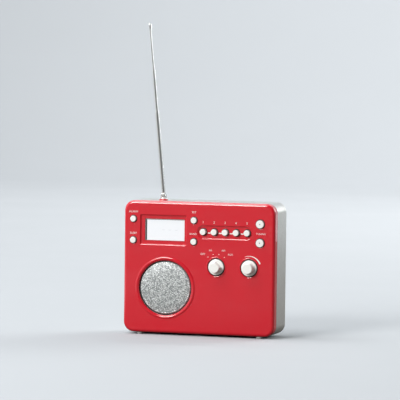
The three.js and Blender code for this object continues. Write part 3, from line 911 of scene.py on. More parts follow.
@dataclass
class Cabinet:
    """The two shells of the cabinet, its feet and its screws."""

    layout: Layout
    width: float = 185.0
    corner: float = 12.0
    wall: float = 2.4
    joint: float = 11.0
    seam: float = 0.4
    depth: float = 54.0
    front_edge: float = 3.5
    back_edge: float = 6.0
    corner_steps: int = 20
    post: float = 3.6
    screw_hole: float = 1.75
    shaft_hole: float = 4.2
    well_radius: float = 10.7
    well_depth: float = 1.2
    speaker_lip: float = 33.3
    speaker_radius: float = 32.4
    speaker_bead: tuple[float, float, float] = (34.9, 1.7, 0.8)
    knob_bead: tuple[float, float, float] = (11.6, 0.7, 0.35)
    vents: int = 9
    vent_low: float = 88.0
    vent_pitch: float = 4.2

    def ring(self, depth: float, inset: float) -> tuple[float, list[Point]]:
        """Return the cabinet's outline at a depth, drawn in by an inset.

        Args:
            depth: distance behind the front face.
            inset: how far it is drawn in all round.

        Returns:
            The y of the outline, and its points.
        """
        middle, height = (TOP + FLOOR) / 2, TOP - FLOOR
        corner = max(self.corner - inset, 1.0)
        points = outline(self.width - 2 * inset, height - 2 * inset, corner, self.corner_steps)
        return at(depth), [(x, z + middle) for x, z in points]

    def rounded(self, radius: float, steps: int = 10) -> list[Point]:
        """Return (depth, inset) pairs of a quarter-round edge, from its end face."""
        angles = (i * math.pi / 2 / steps for i in range(steps + 1))
        return [(radius * (1 - math.cos(a)), radius * (1 - math.sin(a))) for a in angles]

    def front_shell(self) -> bpy.types.Object:
        """Build the red front with its wells, holes and recesses.

        Returns:
            The finished object.
        """
        sections = [self.ring(d, i) for d, i in self.rounded(self.front_edge)]
        sections += [self.ring(self.joint - 0.25, 0), self.ring(self.joint, 0.25)]
        shell = mesh_object("front_panel", lofted(sections))
        wall = self.wall
        hollow = lofted([self.ring(wall, 4), self.ring(4, wall), self.ring(self.joint + 1, wall)])
        carve(shell, "DIFFERENCE", [hollow])
        inside = wall - 0.2
        layout = self.layout
        pads = [
            Slab(60, 38, 1, at(inside), at(3.4), 0.05).shape(*layout.display),
            Slab(70.6, 18.2, 9, at(inside), at(3.8), 0.05).shape(*layout.presets),
        ]
        pads += [rod(self.post, at(inside), at(10.7), 32).moved(x, 0, z) for x, z in layout.screws]
        pads.append(self.bead(layout.speaker_x, layout.speaker_z, *self.speaker_bead))
        pads += [self.bead(x, layout.knob_z, *self.knob_bead) for x in layout.knob_xs]
        carve(shell, "UNION", pads)
        cuts = [
            FlatPocket(*layout.display, 55.6, 33.6, 0.4, 1.65, rim=1.5).cutter(),
            FlatPocket(*layout.window, 48.8, 25.6, 0.6, 4.4, start=1.6, rim=0.15).cutter(),
            FlatPocket(*layout.presets, 66.4, 14.0, 6.99, layout.preset_depth, rim=1.4).cutter(),
        ]
        cuts += [self.key_hole(key) for key in layout.keys]
        for x in layout.knob_xs:
            cuts.append(RoundPocket(x, layout.knob_z, self.well_radius, self.well_depth, rim=0.4).cutter())
            cuts.append(rod(self.shaft_hole, at(0.5), at(3.6)).moved(x, 0, layout.knob_z))
        cuts.append(self.speaker_hole())
        cuts += [rod(self.screw_hole, at(4.4), at(11.5), 24).moved(x, 0, z) for x, z in layout.screws]
        cuts += self.foot_holes(layout.foot_depths[0])
        return smooth(carve(shell, "DIFFERENCE", cuts), 30)

    def bead(self, x: float, z: float, radius: float, half: float, height: float) -> Shape:
        """Return a low rounded ring that stands on the front face.

        Args:
            x: centre of the ring.
            z: centre of the ring.
            radius: radius of its crest.
            half: half of its width.
            height: how far it stands proud.

        Returns:
            The closed ring, sunk a little into the face.
        """
        angles = (i * math.pi / 8 for i in range(9))
        arc = [(radius + half * math.cos(a), at(-height * math.sin(a))) for a in angles]
        line = [(radius + half, at(0.6)), *arc, (radius - half, at(0.6))]
        return turned(line, 128).moved(x, 0, z)

    def key_hole(self, key: KeySpec) -> Shape:
        """Return the cutter of the moat round a key.

        Args:
            key: the key that it goes round.

        Returns:
            The closed shape.
        """
        preset = key.name.startswith("preset")
        hole = RoundPocket(key.x, key.z, key.radius + self.layout.moat, 5.0, rim=0.45)
        return hole.cutter().moved(0, self.layout.preset_depth, 0) if preset else hole.cutter()

    def speaker_hole(self) -> Shape:
        """Return the cutter of the loudspeaker's opening with its wide soft lip.

        Returns:
            The closed shape.
        """
        lip, hole = self.speaker_lip, self.speaker_radius
        line = filleted([
            (0, FACE - 2), (lip, FACE - 2), (lip, at(-0.3)), (hole, at(0.35), 0.5), (hole, at(3.6)),
            (0, at(3.6)),
        ], 6)
        return turned(line, 128).moved(self.layout.speaker_x, 0, self.layout.speaker_z)

    def foot_holes(self, depth: float) -> list[Shape]:
        """Return the cutters of the two foot peg holes at a depth."""
        hole = rod(1.9, 0, 9, 24, Axis.UP)
        return [hole.moved(side * self.layout.feet_x, at(depth), 0) for side in (-1, 1)]

    def rear_shell(self) -> bpy.types.Object:
        """Build the silver back with its locating lip, screw wells, vents and openings.

        Returns:
            The finished object.
        """
        start, wall = self.joint + self.seam, self.wall
        sections = [self.ring(start, 0.3), self.ring(start + 0.3, 0)]
        sections += [self.ring(self.depth - d, i) for d, i in reversed(self.rounded(self.back_edge))]
        shell = mesh_object("back_shell", lofted(sections))
        lip, inner = wall + 0.3, wall + 1.5
        carve(shell, "UNION", [lofted([self.ring(8.2, lip), self.ring(start + 1, lip)])])
        hollow = lofted([
            self.ring(7.2, inner), self.ring(start + 1.5, inner), self.ring(start + 3, wall),
            self.ring(self.depth - wall - 3.4, wall), self.ring(self.depth - wall, wall + 3),
        ])
        carve(shell, "DIFFERENCE", [hollow])
        deep = at(self.depth - wall) + 0.2
        bosses = [self.bar(4.4, at(start), deep, x, z) for x, z in self.layout.screws]
        bosses += [self.bar(3, at(35), deep, x, z) for x in (-76, 76) for z in (70, 132)]
        carve(shell, "UNION", bosses)
        cuts = []
        for x, z in self.layout.screws:
            well = filleted([(0, BACK + 1), (3.8, BACK + 1), (3.8, BACK + 0.005), (3.1, BACK - 0.5, 0.4),
                             (3.1, at(start + 2.2)), (0, at(start + 2.2))], 5)
            cuts.append(turned(well, 40).moved(x, 0, z))
            cuts.append(self.bar(self.screw_hole, at(start - 1), at(start + 3), x, z))
        bay = Slab(113.6, 40.6, 2, at(self.depth - wall - 1), BACK + 1, 0.05)
        cuts.append(bay.shape(0, self.layout.door_z))
        cuts += [
            self.bar(jack.radius + 0.3, at(self.depth - wall - 1), BACK + 1, self.layout.jack_x, jack.z)
            for jack in self.layout.jacks
        ]
        vent = Slab(46, 1.6, 0.79, BACK - 0.9, BACK + 1, 0.05)
        cuts += [vent.shape(0, self.vent_low + self.vent_pitch * i) for i in range(self.vents)]
        sleeve = rod(4.3, 154, 159, 48, Axis.UP)
        pocket = rod(7, 151, 155.6, 48, Axis.UP)
        cuts += [c.moved(self.layout.aerial_x, at(self.layout.aerial_depth), 0) for c in (sleeve, pocket)]
        cuts += self.foot_holes(self.layout.foot_depths[1])
        return smooth(carve(shell, "DIFFERENCE", cuts), 30)

    def bar(self, radius: float, front: float, end: float, x: float, z: float) -> Shape:
        """Return a round bar between two planes."""
        return rod(radius, front, end, 40).moved(x, 0, z)

    def foot(self, number: int, x: float, depth: float) -> bpy.types.Object:
        """Build a rubber foot with a soft lower edge and its peg."""
        line = filleted([(0, 0), (3.7, 0, 0.6), (4, 2.45, 0.2), (1.6, 2.45), (1.6, 4.7, 0.3), (0, 4.7)])
        return smooth(mesh_object(f"rubber_foot_{number}", turned(line, 48, Axis.UP).moved(x, at(depth), 0)))

    def screw(self, number: int, x: float, z: float) -> bpy.types.Object:
        """Build a pan-head screw with a cross recess.

        Args:
            number: which one it is, from 1.
            x: centre of its head.
            z: centre of its head.

        Returns:
            The finished object.
        """
        y = at(self.joint + self.seam + 2.4)
        line = filleted([
            (0, y - 8.2), (1.45, y - 7.8), (1.45, y, 0.1), (2.7, y, 0.1), (2.7, y + 1.2, 0.7), (0, y + 1.9),
        ])
        head = mesh_object(f"case_screw_{number}", turned(line, 40).moved(x, 0, z))
        arms = [block((x - a, y + 1.0, z - b), (x + a, y + 3, z + b)) for a, b in ((1.8, 0.33), (0.33, 1.8))]
        return smooth(carve(head, "DIFFERENCE", arms), 30)

    def pieces(self) -> list[Piece]:
        """Return every piece of the cabinet.

        Returns:
            The pieces, ready to place.
        """
        made = [
            Piece(self.front_shell(), "cabinet", "gloss_red", ("front_shell",)),
            Piece(self.rear_shell(), "cabinet", "silver_lacquer", ("rear_shell",)),
        ]
        places = [(side, depth) for side in (-1, 1) for depth in self.layout.foot_depths]
        for i, (side, depth) in enumerate(places, 1):
            foot = self.foot(i, side * self.layout.feet_x, depth)
            made.append(Piece(foot, "cabinet", "foot_rubber", (f"foot_{i}",)))
        for i, (x, z) in enumerate(self.layout.screws, 1):
            made.append(Piece(self.screw(i, x, z), "cabinet", "zinc_plate", (f"cabinet_screw_{i}",)))
        return made


# ------------------------------------------------------------------ loudspeaker front


@dataclass
class Grille:
    """Domed grille of punched sheet, held in a plain rim."""

    layout: Layout
    pitch: float = 1.6
    hole: float = 0.45
    thickness: float = 0.5
    sheet_radius: float = 30.5

    def dome(self, radius: float) -> float:
        """Return the depth of the sheet's front at a radius."""
        return 0.3 + 1.35 * (radius / 29.4) ** 4

    def sheet(self) -> Shape:
        """Build the punched sheet as hexagonal cells that share their edges, each with a round hole.

        Returns:
            The closed shape.
        """
        corners: dict[tuple[int, int, int], int] = {}
        shape = Shape()

        def corner(x: float, z: float, layer: int) -> int:
            """Find or add a corner of the sheet.

            Args:
                x: its place on the sheet.
                z: its place on the sheet.
                layer: 0 at the front and 1 at the back.

            Returns:
                The number of the corner.
            """
            key = (round(x * 1000), round(z * 1000), layer)
            if key not in corners:
                corners[key] = len(shape.corners)
                depth = self.dome(math.hypot(x, z)) + layer * self.thickness
                shape.corners.append((x, at(depth), z))
            return corners[key]

        reach = self.pitch / math.sqrt(3)
        rows = int(self.sheet_radius / (self.pitch * math.sqrt(3) / 2)) + 1
        open_sides: dict[tuple[int, int], tuple[int, int]] = {}
        for row in range(-rows, rows + 1):
            for column in range(-rows - 6, rows + 7):
                x = (column + 0.5 * (row % 2)) * self.pitch
                z = row * self.pitch * math.sqrt(3) / 2
                if math.hypot(x, z) > self.sheet_radius - 0.7 * self.pitch:
                    continue
                hexagon = [(x + reach * math.cos(a), z + reach * math.sin(a))
                           for a in (math.radians(30 + 60 * i) for i in range(6))]
                circle = [(x + self.hole * math.cos(a), z + self.hole * math.sin(a))
                          for a in (math.radians(30 + 30 * i) for i in range(12))]
                outer = [[corner(*p, layer) for p in hexagon] for layer in (0, 1)]
                inner = [[corner(*p, layer) for p in circle] for layer in (0, 1)]
                for i in range(6):
                    j = (i + 1) % 6
                    a, b, c = 2 * i, 2 * i + 1, (2 * i + 2) % 12
                    shape.faces.append((outer[0][i], outer[0][j], inner[0][c], inner[0][b], inner[0][a]))
                    shape.faces.append((outer[1][j], outer[1][i], inner[1][a], inner[1][b], inner[1][c]))
                    for first, second in ((a, b), (b, c)):
                        front, back = inner
                        shape.faces.append((front[first], front[second], back[second], back[first]))
                    edge = (outer[0][i], outer[0][j])
                    if (edge[1], edge[0]) in open_sides:
                        del open_sides[(edge[1], edge[0])]
                    else:
                        open_sides[edge] = (outer[1][i], outer[1][j])
        for (a, b), (c, d) in open_sides.items():
            shape.faces.append((b, a, c, d))
        return shape

    def rim(self) -> Shape:
        """Build the plain rim that the sheet is pressed into, with its skirt and flange.

        Returns:
            The closed shape.
        """
        line = filleted([
            (28.9, at(2.2)), (28.9, at(1.35), 0.2), (30.0, at(1.5), 0.6), (30.8, at(2.4), 0.5), (30.8, at(3.2)),
            (34.2, at(3.2), 0.1), (34.2, at(3.8), 0.1), (30.2, at(3.8)), (30.1, at(2.8), 0.2), (28.9, at(2.2)),
        ])
        return turned(line[:-1], 128)

    def gap_shade_ring(self) -> Shape:
        """Build the dark ring that fills the gap round the rim: painted shade that stands for the shaded gap
        between the rim and the front.

        Returns:
            The closed shape.
        """
        # This dark ring is painted shade: it fills the gap round the rim so that it reads as being in shade.
        inner, outer, front, back = 31.0, 32.3, at(2.6), at(3.15)
        line = filleted([
            (inner, front, 0.2), (outer, front, 0.2), (outer, back), (inner, back), (inner, front),
        ])
        return turned(line[:-1], 128)

    def pieces(self) -> list[Piece]:
        """Return the punched sheet, its rim and the dark ring of painted shade in the gap.

        Returns:
            The pieces, ready to place.
        """
        spot = (self.layout.speaker_x, 0, self.layout.speaker_z)
        sheet = smooth(mesh_object("grille_sheet", self.sheet().moved(*spot)), 40, False)
        rim = smooth(mesh_object("grille_rim", self.rim().moved(*spot)), 40)
        gap_shade_ring = smooth(mesh_object("grille_gasket", self.gap_shade_ring().moved(*spot)), 40)
        return [
            Piece(sheet, "cabinet", "grille_metal"),
            Piece(rim, "cabinet", "grille_metal", ("speaker_grille",)),
            Piece(gap_shade_ring, "cabinet", "dark_rubber"),
        ]


# ------------------------------------------------------------------ keys, knobs and display


@dataclass
class Keypad:
    """The push keys and the two rubber mats behind them."""

    layout: Layout
    proud: float = 2.2
    flange: float = 0.85
    collar_front: float = 0.6
    preset_collar_front: float = 2.3
    moat_gap: float = 0.04
    key_gap: float = 0.15

    def key(self, spec: KeySpec) -> bpy.types.Object:
        """Build one key cap with its retaining flange.

        Args:
            spec: its name, place and sizes.

        Returns:
            The finished object.
        """
        front, step, r = -self.proud, 5.3, spec.radius
        line = filleted([
            (0, front), (r, front + 0.05, 0.4), (r, step), (r + self.flange, step, 0.1),
            (r + self.flange, step + 0.9, 0.1), (0, step + 0.9),
        ], 8)
        cap = turned([(a, at(b)) for a, b in line], 56).moved(spec.x, 0, spec.z)
        return smooth(mesh_object(spec.name.replace("_button", "_key"), cap))

    def arrow(self, spec: KeySpec) -> bpy.types.Object:
        """Build the small printed arrow head on a tuning key, up or down.

        Args:
            spec: its name, place and sizes.

        Returns:
            The finished object.
        """
        way = 1 if spec.name == "tune_up_button" else -1
        points = [(0.0, 0.85 * way), (-0.95 * way, -0.6 * way), (0.95 * way, -0.6 * way)]
        front = at(-self.proud)
        mark = lofted([(front - 0.04, points), (front + 0.02, points)]).moved(spec.x, 0, spec.z)
        return mesh_object(spec.name.replace("_button", "_mark"), mark)

    def mat(self, name: str, sheet: Slab, x: float, z: float, keys: Iterable[KeySpec]) -> bpy.types.Object:
        """Build a mat with a collar round each key; the dark collars reach forward to fill each moat, partly a
        real rubber collar and partly painted shade of the moat.

        Args:
            name: the mat's name.
            sheet: the flat part of the mat.
            x: centre of the flat part.
            z: centre of the flat part.
            keys: the keys that pass through it.

        Returns:
            The mat.
        """
        mat = mesh_object(name, sheet.shape(x, z))
        specs = list(keys)
        rings = []
        for key in specs:
            # Each collar fills its moat almost to the wall and stands close behind the face, so the dark rubber
            # is also painted shade in the moat.
            outer = key.radius + self.layout.moat - self.moat_gap
            front = self.preset_collar_front if key.name.startswith("preset") else self.collar_front
            line = filleted([(0, at(front)), (outer, at(front), 0.2), (outer, at(4.4)), (0, at(4.4))], 3)
            rings.append(turned(line, 48).moved(key.x, 0, key.z))
        carve(mat, "UNION", rings)
        holes = [rod(k.radius + self.key_gap, at(-1), at(8), 48).moved(k.x, 0, k.z) for k in specs]
        return smooth(carve(mat, "DIFFERENCE", holes))

    def pieces(self) -> list[Piece]:
        """Return the keys and mats.

        Returns:
            The pieces, ready to place.
        """
        made = [Piece(self.key(k), k.name, "gloss_white", (k.name,)) for k in self.layout.keys]
        tuning = [k for k in self.layout.keys if k.name.startswith("tune")]
        made += [Piece(self.arrow(k), k.name, "blue_print") for k in tuning]
        left = [k for k in self.layout.keys if k.x < -50]
        right = [k for k in self.layout.keys if k.x >= -50]
        sheets = (
            ("left", Slab(12, 39, 3, at(4.1), at(5.0), 0.1), -81, left),
            ("right", Slab(93.6, 34.6, 4, at(4.1), at(5.0), 0.1), 34.6, right),
        )
        for side, sheet, x, keys in sheets:
            mat = self.mat(f"key_mat_{side}", sheet, x, 123.8, keys)
            made.append(Piece(mat, "cabinet", "dark_rubber", (f"keypad_mat_{side}",)))
        return made


@dataclass
class Knobs:
    """The two knobs: a disc that lies in its well and a tall grip."""

    layout: Layout
    proud: float = 9.5
    disc: float = 9.3
    grip: float = 6.9
    flat: float = 4.9
    boss: float = 3.7
    bore: float = 2.9

    def knob(self, name: str, x: float, with_flat: bool) -> bpy.types.Object:
        """Build one knob, with a flat on its grip if it is a selector.

        Args:
            name: name of the piece.
            x: its centre.
            with_flat: cuts a flat on the grip.

        Returns:
            The finished object.
        """
        line = filleted([
            (0, at(-self.proud)), (self.grip - 0.75, at(-self.proud), 0.8), (self.grip, at(-1), 0.35),
            (self.disc, at(-0.95), 0.45), (self.disc, at(0.85), 0.1), (0, at(0.85)),
        ], 8)
        body = mesh_object(name, turned(line, 96).moved(x, 0, self.layout.knob_z))
        carve(body, "UNION", [rod(self.boss, at(0.5), at(3.4), 32).moved(x, 0, self.layout.knob_z)])
        cuts = [rod(self.bore, at(-5), at(4), 32).moved(x, 0, self.layout.knob_z)]
        if with_flat:
            slanted = block((-10, at(-self.proud - 1), self.flat), (10, at(-1), 12))
            turn = Matrix.Rotation(math.radians(45), 4, "Y")
            cuts.append(slanted.turned_by(turn).moved(x, 0, self.layout.knob_z))
        return smooth(carve(body, "DIFFERENCE", cuts), 28)

    def well_shade_ring(self, name: str, x: float) -> bpy.types.Object:
        """Build the dark ring on the floor of a knob's well: painted shade that stands for the deep gap round
        the knob's disc.

        Args:
            name: name of the piece.
            x: its centre.

        Returns:
            The finished object.
        """
        # This dark ring is painted shade: it darkens the well round the disc where the gap would lie in shade.
        inner, outer, front, back = 4.3, 10.6, at(0.92), at(1.19)
        line = filleted([(inner, front), (inner, back), (outer, back), (outer, front, 0.1), (inner, front)])
        return smooth(mesh_object(name, turned(line[:-1], 96).moved(x, 0, self.layout.knob_z)))

    def pieces(self) -> list[Piece]:
        """Return both knobs and the dark rings of painted shade in their wells.

        Returns:
            The pieces, ready to place.
        """
        mode_x, level_x = self.layout.knob_xs
        made = [
            Piece(self.well_shade_ring("mode_felt", mode_x), "cabinet", "dust_cloth"),
            Piece(self.well_shade_ring("level_felt", level_x), "cabinet", "dust_cloth"),
        ]
        mode, level = self.knob("mode_knob", mode_x, True), self.knob("level_knob", level_x, False)
        made.append(Piece(mode, "selector_knob", "gloss_white", ("selector_knob",)))
        made.append(Piece(level, "volume_knob", "gloss_white", ("volume_knob",)))
        return made


@dataclass
class Display:
    """The display window with three faint bars behind its face, and black strips of painted shade along its
    left and top edges.
    """

    layout: Layout

    def pieces(self) -> list[Piece]:
        """Return the window plate, its bars and the black strips of painted shade.

        Returns:
            The pieces, ready to place.
        """
        x, z = self.layout.window
        plate = mesh_object("display_plate", Slab(48.2, 25, 0.5, at(2.3), at(3.4), 0.25).shape(x, z))
        bars = Shape().with_all(
            Slab(3.2, 0.7, 0.3, at(2.27), at(2.31), 0.01, 3).shape(x + dx, z) for dx in (-2, 6, 14)
        )
        # The black strips along the window's left and top edges are painted shade: they stand for the shaded
        # walls of the deep window opening.
        low, high, edge = z - 12.3, z + 12.3, x - 23.9
        mask = block((edge, at(2.26), low), (edge + 1.8, at(2.31), high))
        mask = mask.with_all([block((edge + 1.82, at(2.26), high - 0.5), (x + 23.9, at(2.31), high))])
        return [
            Piece(smooth(plate), "cabinet", "display_panel", ("lcd_window",)),
            Piece(smooth(mesh_object("display_shade_strips", mask)), "cabinet", "black_moulding"),
            Piece(smooth(mesh_object("display_bars", bars)), "cabinet", "grey_print"),
        ]


@dataclass
class Legends:
    """Plain printed words, numbers and marks on the front, and four white bars of painted highlight between the
    preset keys.
    """

    layout: Layout
    thickness: float = 0.05

    def word(self, text: str, x: float, z: float, size: float) -> Shape:
        """Return a word as thin closed letters, centred on x and standing on z.

        Args:
            text: the word.
            x: its middle.
            z: its foot.
            size: height of the letters.

        Returns:
            The closed shape.
        """
        curve = bpy.data.curves.new("letters", "FONT")
        curve.body, curve.size, curve.align_x = text, size, "CENTER"
        curve.extrude, curve.resolution_u, curve.space_character = self.thickness / 2, 3, 1.08
        holder = bpy.data.objects.new("letters", curve)
        bpy.context.scene.collection.objects.link(holder)
        mesh = bpy.data.meshes.new_from_object(holder.evaluated_get(bpy.context.evaluated_depsgraph_get()))
        bpy.data.objects.remove(holder)
        shape = Shape([tuple(v.co) for v in mesh.vertices], [tuple(p.vertices) for p in mesh.polygons])
        bpy.data.meshes.remove(mesh)
        return shape.turned_by(TURN[Axis.UP]).moved(x, FACE - self.thickness / 2 + 0.01, z)

    def arc(self) -> Shape:
        """Return the volume knob's tapered arc.

        Returns:
            The closed shape.
        """
        inner, outer = [], []
        start, end, radius, steps = math.radians(112), math.radians(22), 14.3, 24
        for i in range(steps + 1):
            share = i / steps
            angle = start + (end - start) * share
            half = 0.12 + 0.75 * share
            inner.append(((radius - half) * math.cos(angle), (radius - half) * math.sin(angle)))
            outer.append(((radius + half) * math.cos(angle), (radius + half) * math.sin(angle)))
        points = outer + inner[::-1]
        return self.flat(points, self.layout.knob_xs[1], self.layout.knob_z)

    def flat(self, points: Sequence[Point], x: float, z: float) -> Shape:
        """Return a thin closed solid with a given outline, lying on the front face."""
        sections = [(FACE - self.thickness + 0.01, points), (FACE + 0.01, points)]
        return lofted(sections).moved(x, 0, z)

    def dot(self, angle: float, distance: float, size: float) -> Shape:
        """Return a round mark near the selector.

        Args:
            angle: its direction from the selector, in degrees.
            distance: how far it is from the selector's centre.
            size: its radius.

        Returns:
            The closed shape.
        """
        points = [(size * math.cos(a), size * math.sin(a)) for a in (i * math.pi / 8 for i in range(16))]
        x = self.layout.knob_xs[0] + distance * math.cos(math.radians(angle))
        z = self.layout.knob_z + distance * math.sin(math.radians(angle))
        return self.flat(points, x, z)

    def pieces(self) -> list[Piece]:
        """Return all the print, with the bars of painted highlight, as one piece.

        Returns:
            The pieces, ready to place.
        """
        words = [
            ("ALARM", -81, 143.7, 3.3), ("SLEEP", -81, 118.3, 3.3), ("SET", -6.3, 144.8, 3.2),
            ("BAND", -7.2, 119.4, 3.0), ("TUNING", 75.4, 121.9, 2.9), ("OFF", 5.0, 96.2, 3.2),
            ("FM", 14.4, 100.6, 2.9), ("AM", 30.2, 101.0, 2.9), ("AUX", 38.6, 96.6, 2.9),
        ]
        words += [(str(i + 1), PRESET_X + (i - 2) * PRESET_PITCH, 133.5, 3.6) for i in range(5)]
        marks = [self.dot(angle, 15.4, 0.5) for angle in (131, 104, 78, 50)]
        # The four short white bars on the pill floor between the preset keys are a painted highlight: they
        # stand for the reflection of the keys in the glossy floor.
        bar = outline(3.4, 1.3, 0.3, 4)
        for i in range(4):
            mark = self.flat(bar, PRESET_X + (i - 1.5) * PRESET_PITCH + 0.4, 122.0)
            marks.append(mark.moved(0, self.layout.preset_depth, 0))
        print_shape = Shape().with_all([self.word(*w) for w in words] + marks + [self.arc()])
        thing = mesh_object("front_print", print_shape)
        return [Piece(smooth(thing, 30, False), "cabinet", "white_print")]


# ------------------------------------------------------------------ aerial


@dataclass
class Aerial:
    """The telescopic aerial with its collar and turning knuckle."""

    layout: Layout
    pivot: float = 5.4
    lean: float = 5.6

    def upright(self, shape: Shape) -> Shape:
        """Return a shape moved from the pivot's foot to its place on the top."""
        return shape.moved(self.layout.aerial_x, at(self.layout.aerial_depth), TOP)

    def leaning(self, shape: Shape) -> Shape:
        """Return a mast shape, made up its own axis from the pivot, leaned into place."""
        turn = Matrix.Translation((0, 0, self.pivot)) @ Matrix.Rotation(math.radians(-self.lean), 4, "Y")
        return self.upright(shape.turned_by(turn))

    def collar(self) -> bpy.types.Object:
        """Build the red collar and the sleeve under it.

        Returns:
            The finished object.
        """
        line = filleted([
            (2.7, -7.2), (4, -7.2, 0.1), (4, 0.1), (5.15, 0.1, 0.05), (5.0, 1.6, 0.6), (2.7, 1.6, 0.15),
            (2.7, -7.2),
        ])
        return smooth(mesh_object("aerial_collar", self.upright(turned(line[:-1], 64, Axis.UP))))

    def knuckle(self) -> bpy.types.Object:
        """Build the turning knuckle with its fork and stem.

        Returns:
            The finished object.
        """
        line = filleted([
            (0, -9.6), (2.4, -9.6, 0.1), (2.4, -8.7), (1.7, -8.7), (1.7, -7.15), (2.4, -7.15), (2.4, 1.9),
            (4, 1.9, 0.2), (4, 2.6, 0.3), (0, 2.6),
        ])
        body = mesh_object("aerial_knuckle", self.upright(turned(line, 64, Axis.UP)))
        ear = filleted([(0, -2.8), (3, -2.8, 0.5), (3, 2.8, 0.5), (0, 2.8)], 5)
        ears = turned(ear, 64).moved(0, 0, self.pivot)
        cheeks = block((-3, -2.75, 2.3), (3, 2.75, self.pivot))
        carve(body, "UNION", [self.upright(cheeks), self.upright(ears)])
        slot = block((-5, -1.2, 2.6), (5, 1.2, self.pivot + 5))
        bore = rod(1.1, -5, 5, 24).moved(0, 0, self.pivot)
        return smooth(carve(body, "DIFFERENCE", [self.upright(slot), self.upright(bore)]), 30)

    def lower(self) -> bpy.types.Object:
        """Build the lower mast section with its flat tongue and rolled mouth.

        Returns:
            The finished object.
        """
        line = filleted([
            (0, 3.4), (2.5, 3.4, 0.4), (2.5, 98.6), (2.5, 100.7, 0.35), (2.1, 100.7, 0.1), (2.1, 4.6), (0, 4.6),
        ])
        tube = mesh_object("aerial_lower", self.leaning(turned(line, 64, Axis.UP)))
        tongue = rod(2.45, -0.9, 0.9, 40)
        neck = block((-1.7, -0.9, 0), (1.7, 0.9, 3.9))
        carve(tube, "UNION", [self.leaning(tongue), self.leaning(neck)])
        bore = rod(1.1, -3, 3, 24)
        return smooth(carve(tube, "DIFFERENCE", [self.leaning(bore)]), 30)

    def middle(self) -> bpy.types.Object:
        """Build the middle mast section.

        Returns:
            The finished object.
        """
        line = filleted([
            (0, 52), (1.8, 52, 0.1), (1.8, 148.9, 0.3), (1.4, 148.9, 0.1), (1.4, 53), (0, 53),
        ])
        return smooth(mesh_object("aerial_middle", self.leaning(turned(line, 56, Axis.UP))))

    def upper(self) -> bpy.types.Object:
        """Build the upper mast section."""
        line = filleted([(0, 101), (1.1, 101, 0.1), (1.1, 197.8), (0, 197.8)])
        return smooth(mesh_object("aerial_upper", self.leaning(turned(line, 48, Axis.UP))))

    def tip(self) -> bpy.types.Object:
        """Build the rounded tip that the mast is pulled by."""
        line = filleted([(0, 197.9), (2, 197.9, 0.3), (2, 202.4, 0.8), (0.9, 204, 0.5), (0, 204)], 6)
        return smooth(mesh_object("aerial_tip", self.leaning(turned(line, 48, Axis.UP))))

    def pieces(self) -> list[Piece]:
        """Return every piece of the aerial that is replaced.

        Returns:
            The pieces, ready to place.
        """
        return [
            Piece(self.collar(), "cabinet", "gloss_red", ("antenna_socket",)),
            Piece(self.knuckle(), "antenna_turret", "chrome_plate", ("antenna_turret",)),
            Piece(self.lower(), "antenna_mast_lower", "chrome_plate", ("antenna_mast_lower",)),
            Piece(self.middle(), "antenna_mast_middle", "chrome_plate", ("antenna_mast_middle",)),
            Piece(self.upper(), "antenna_mast_upper", "chrome_plate", ("antenna_mast_upper",)),
            Piece(self.tip(), "antenna_mast_upper", "chrome_plate", ("antenna_tip",)),
        ]


# ------------------------------------------------------------------ back


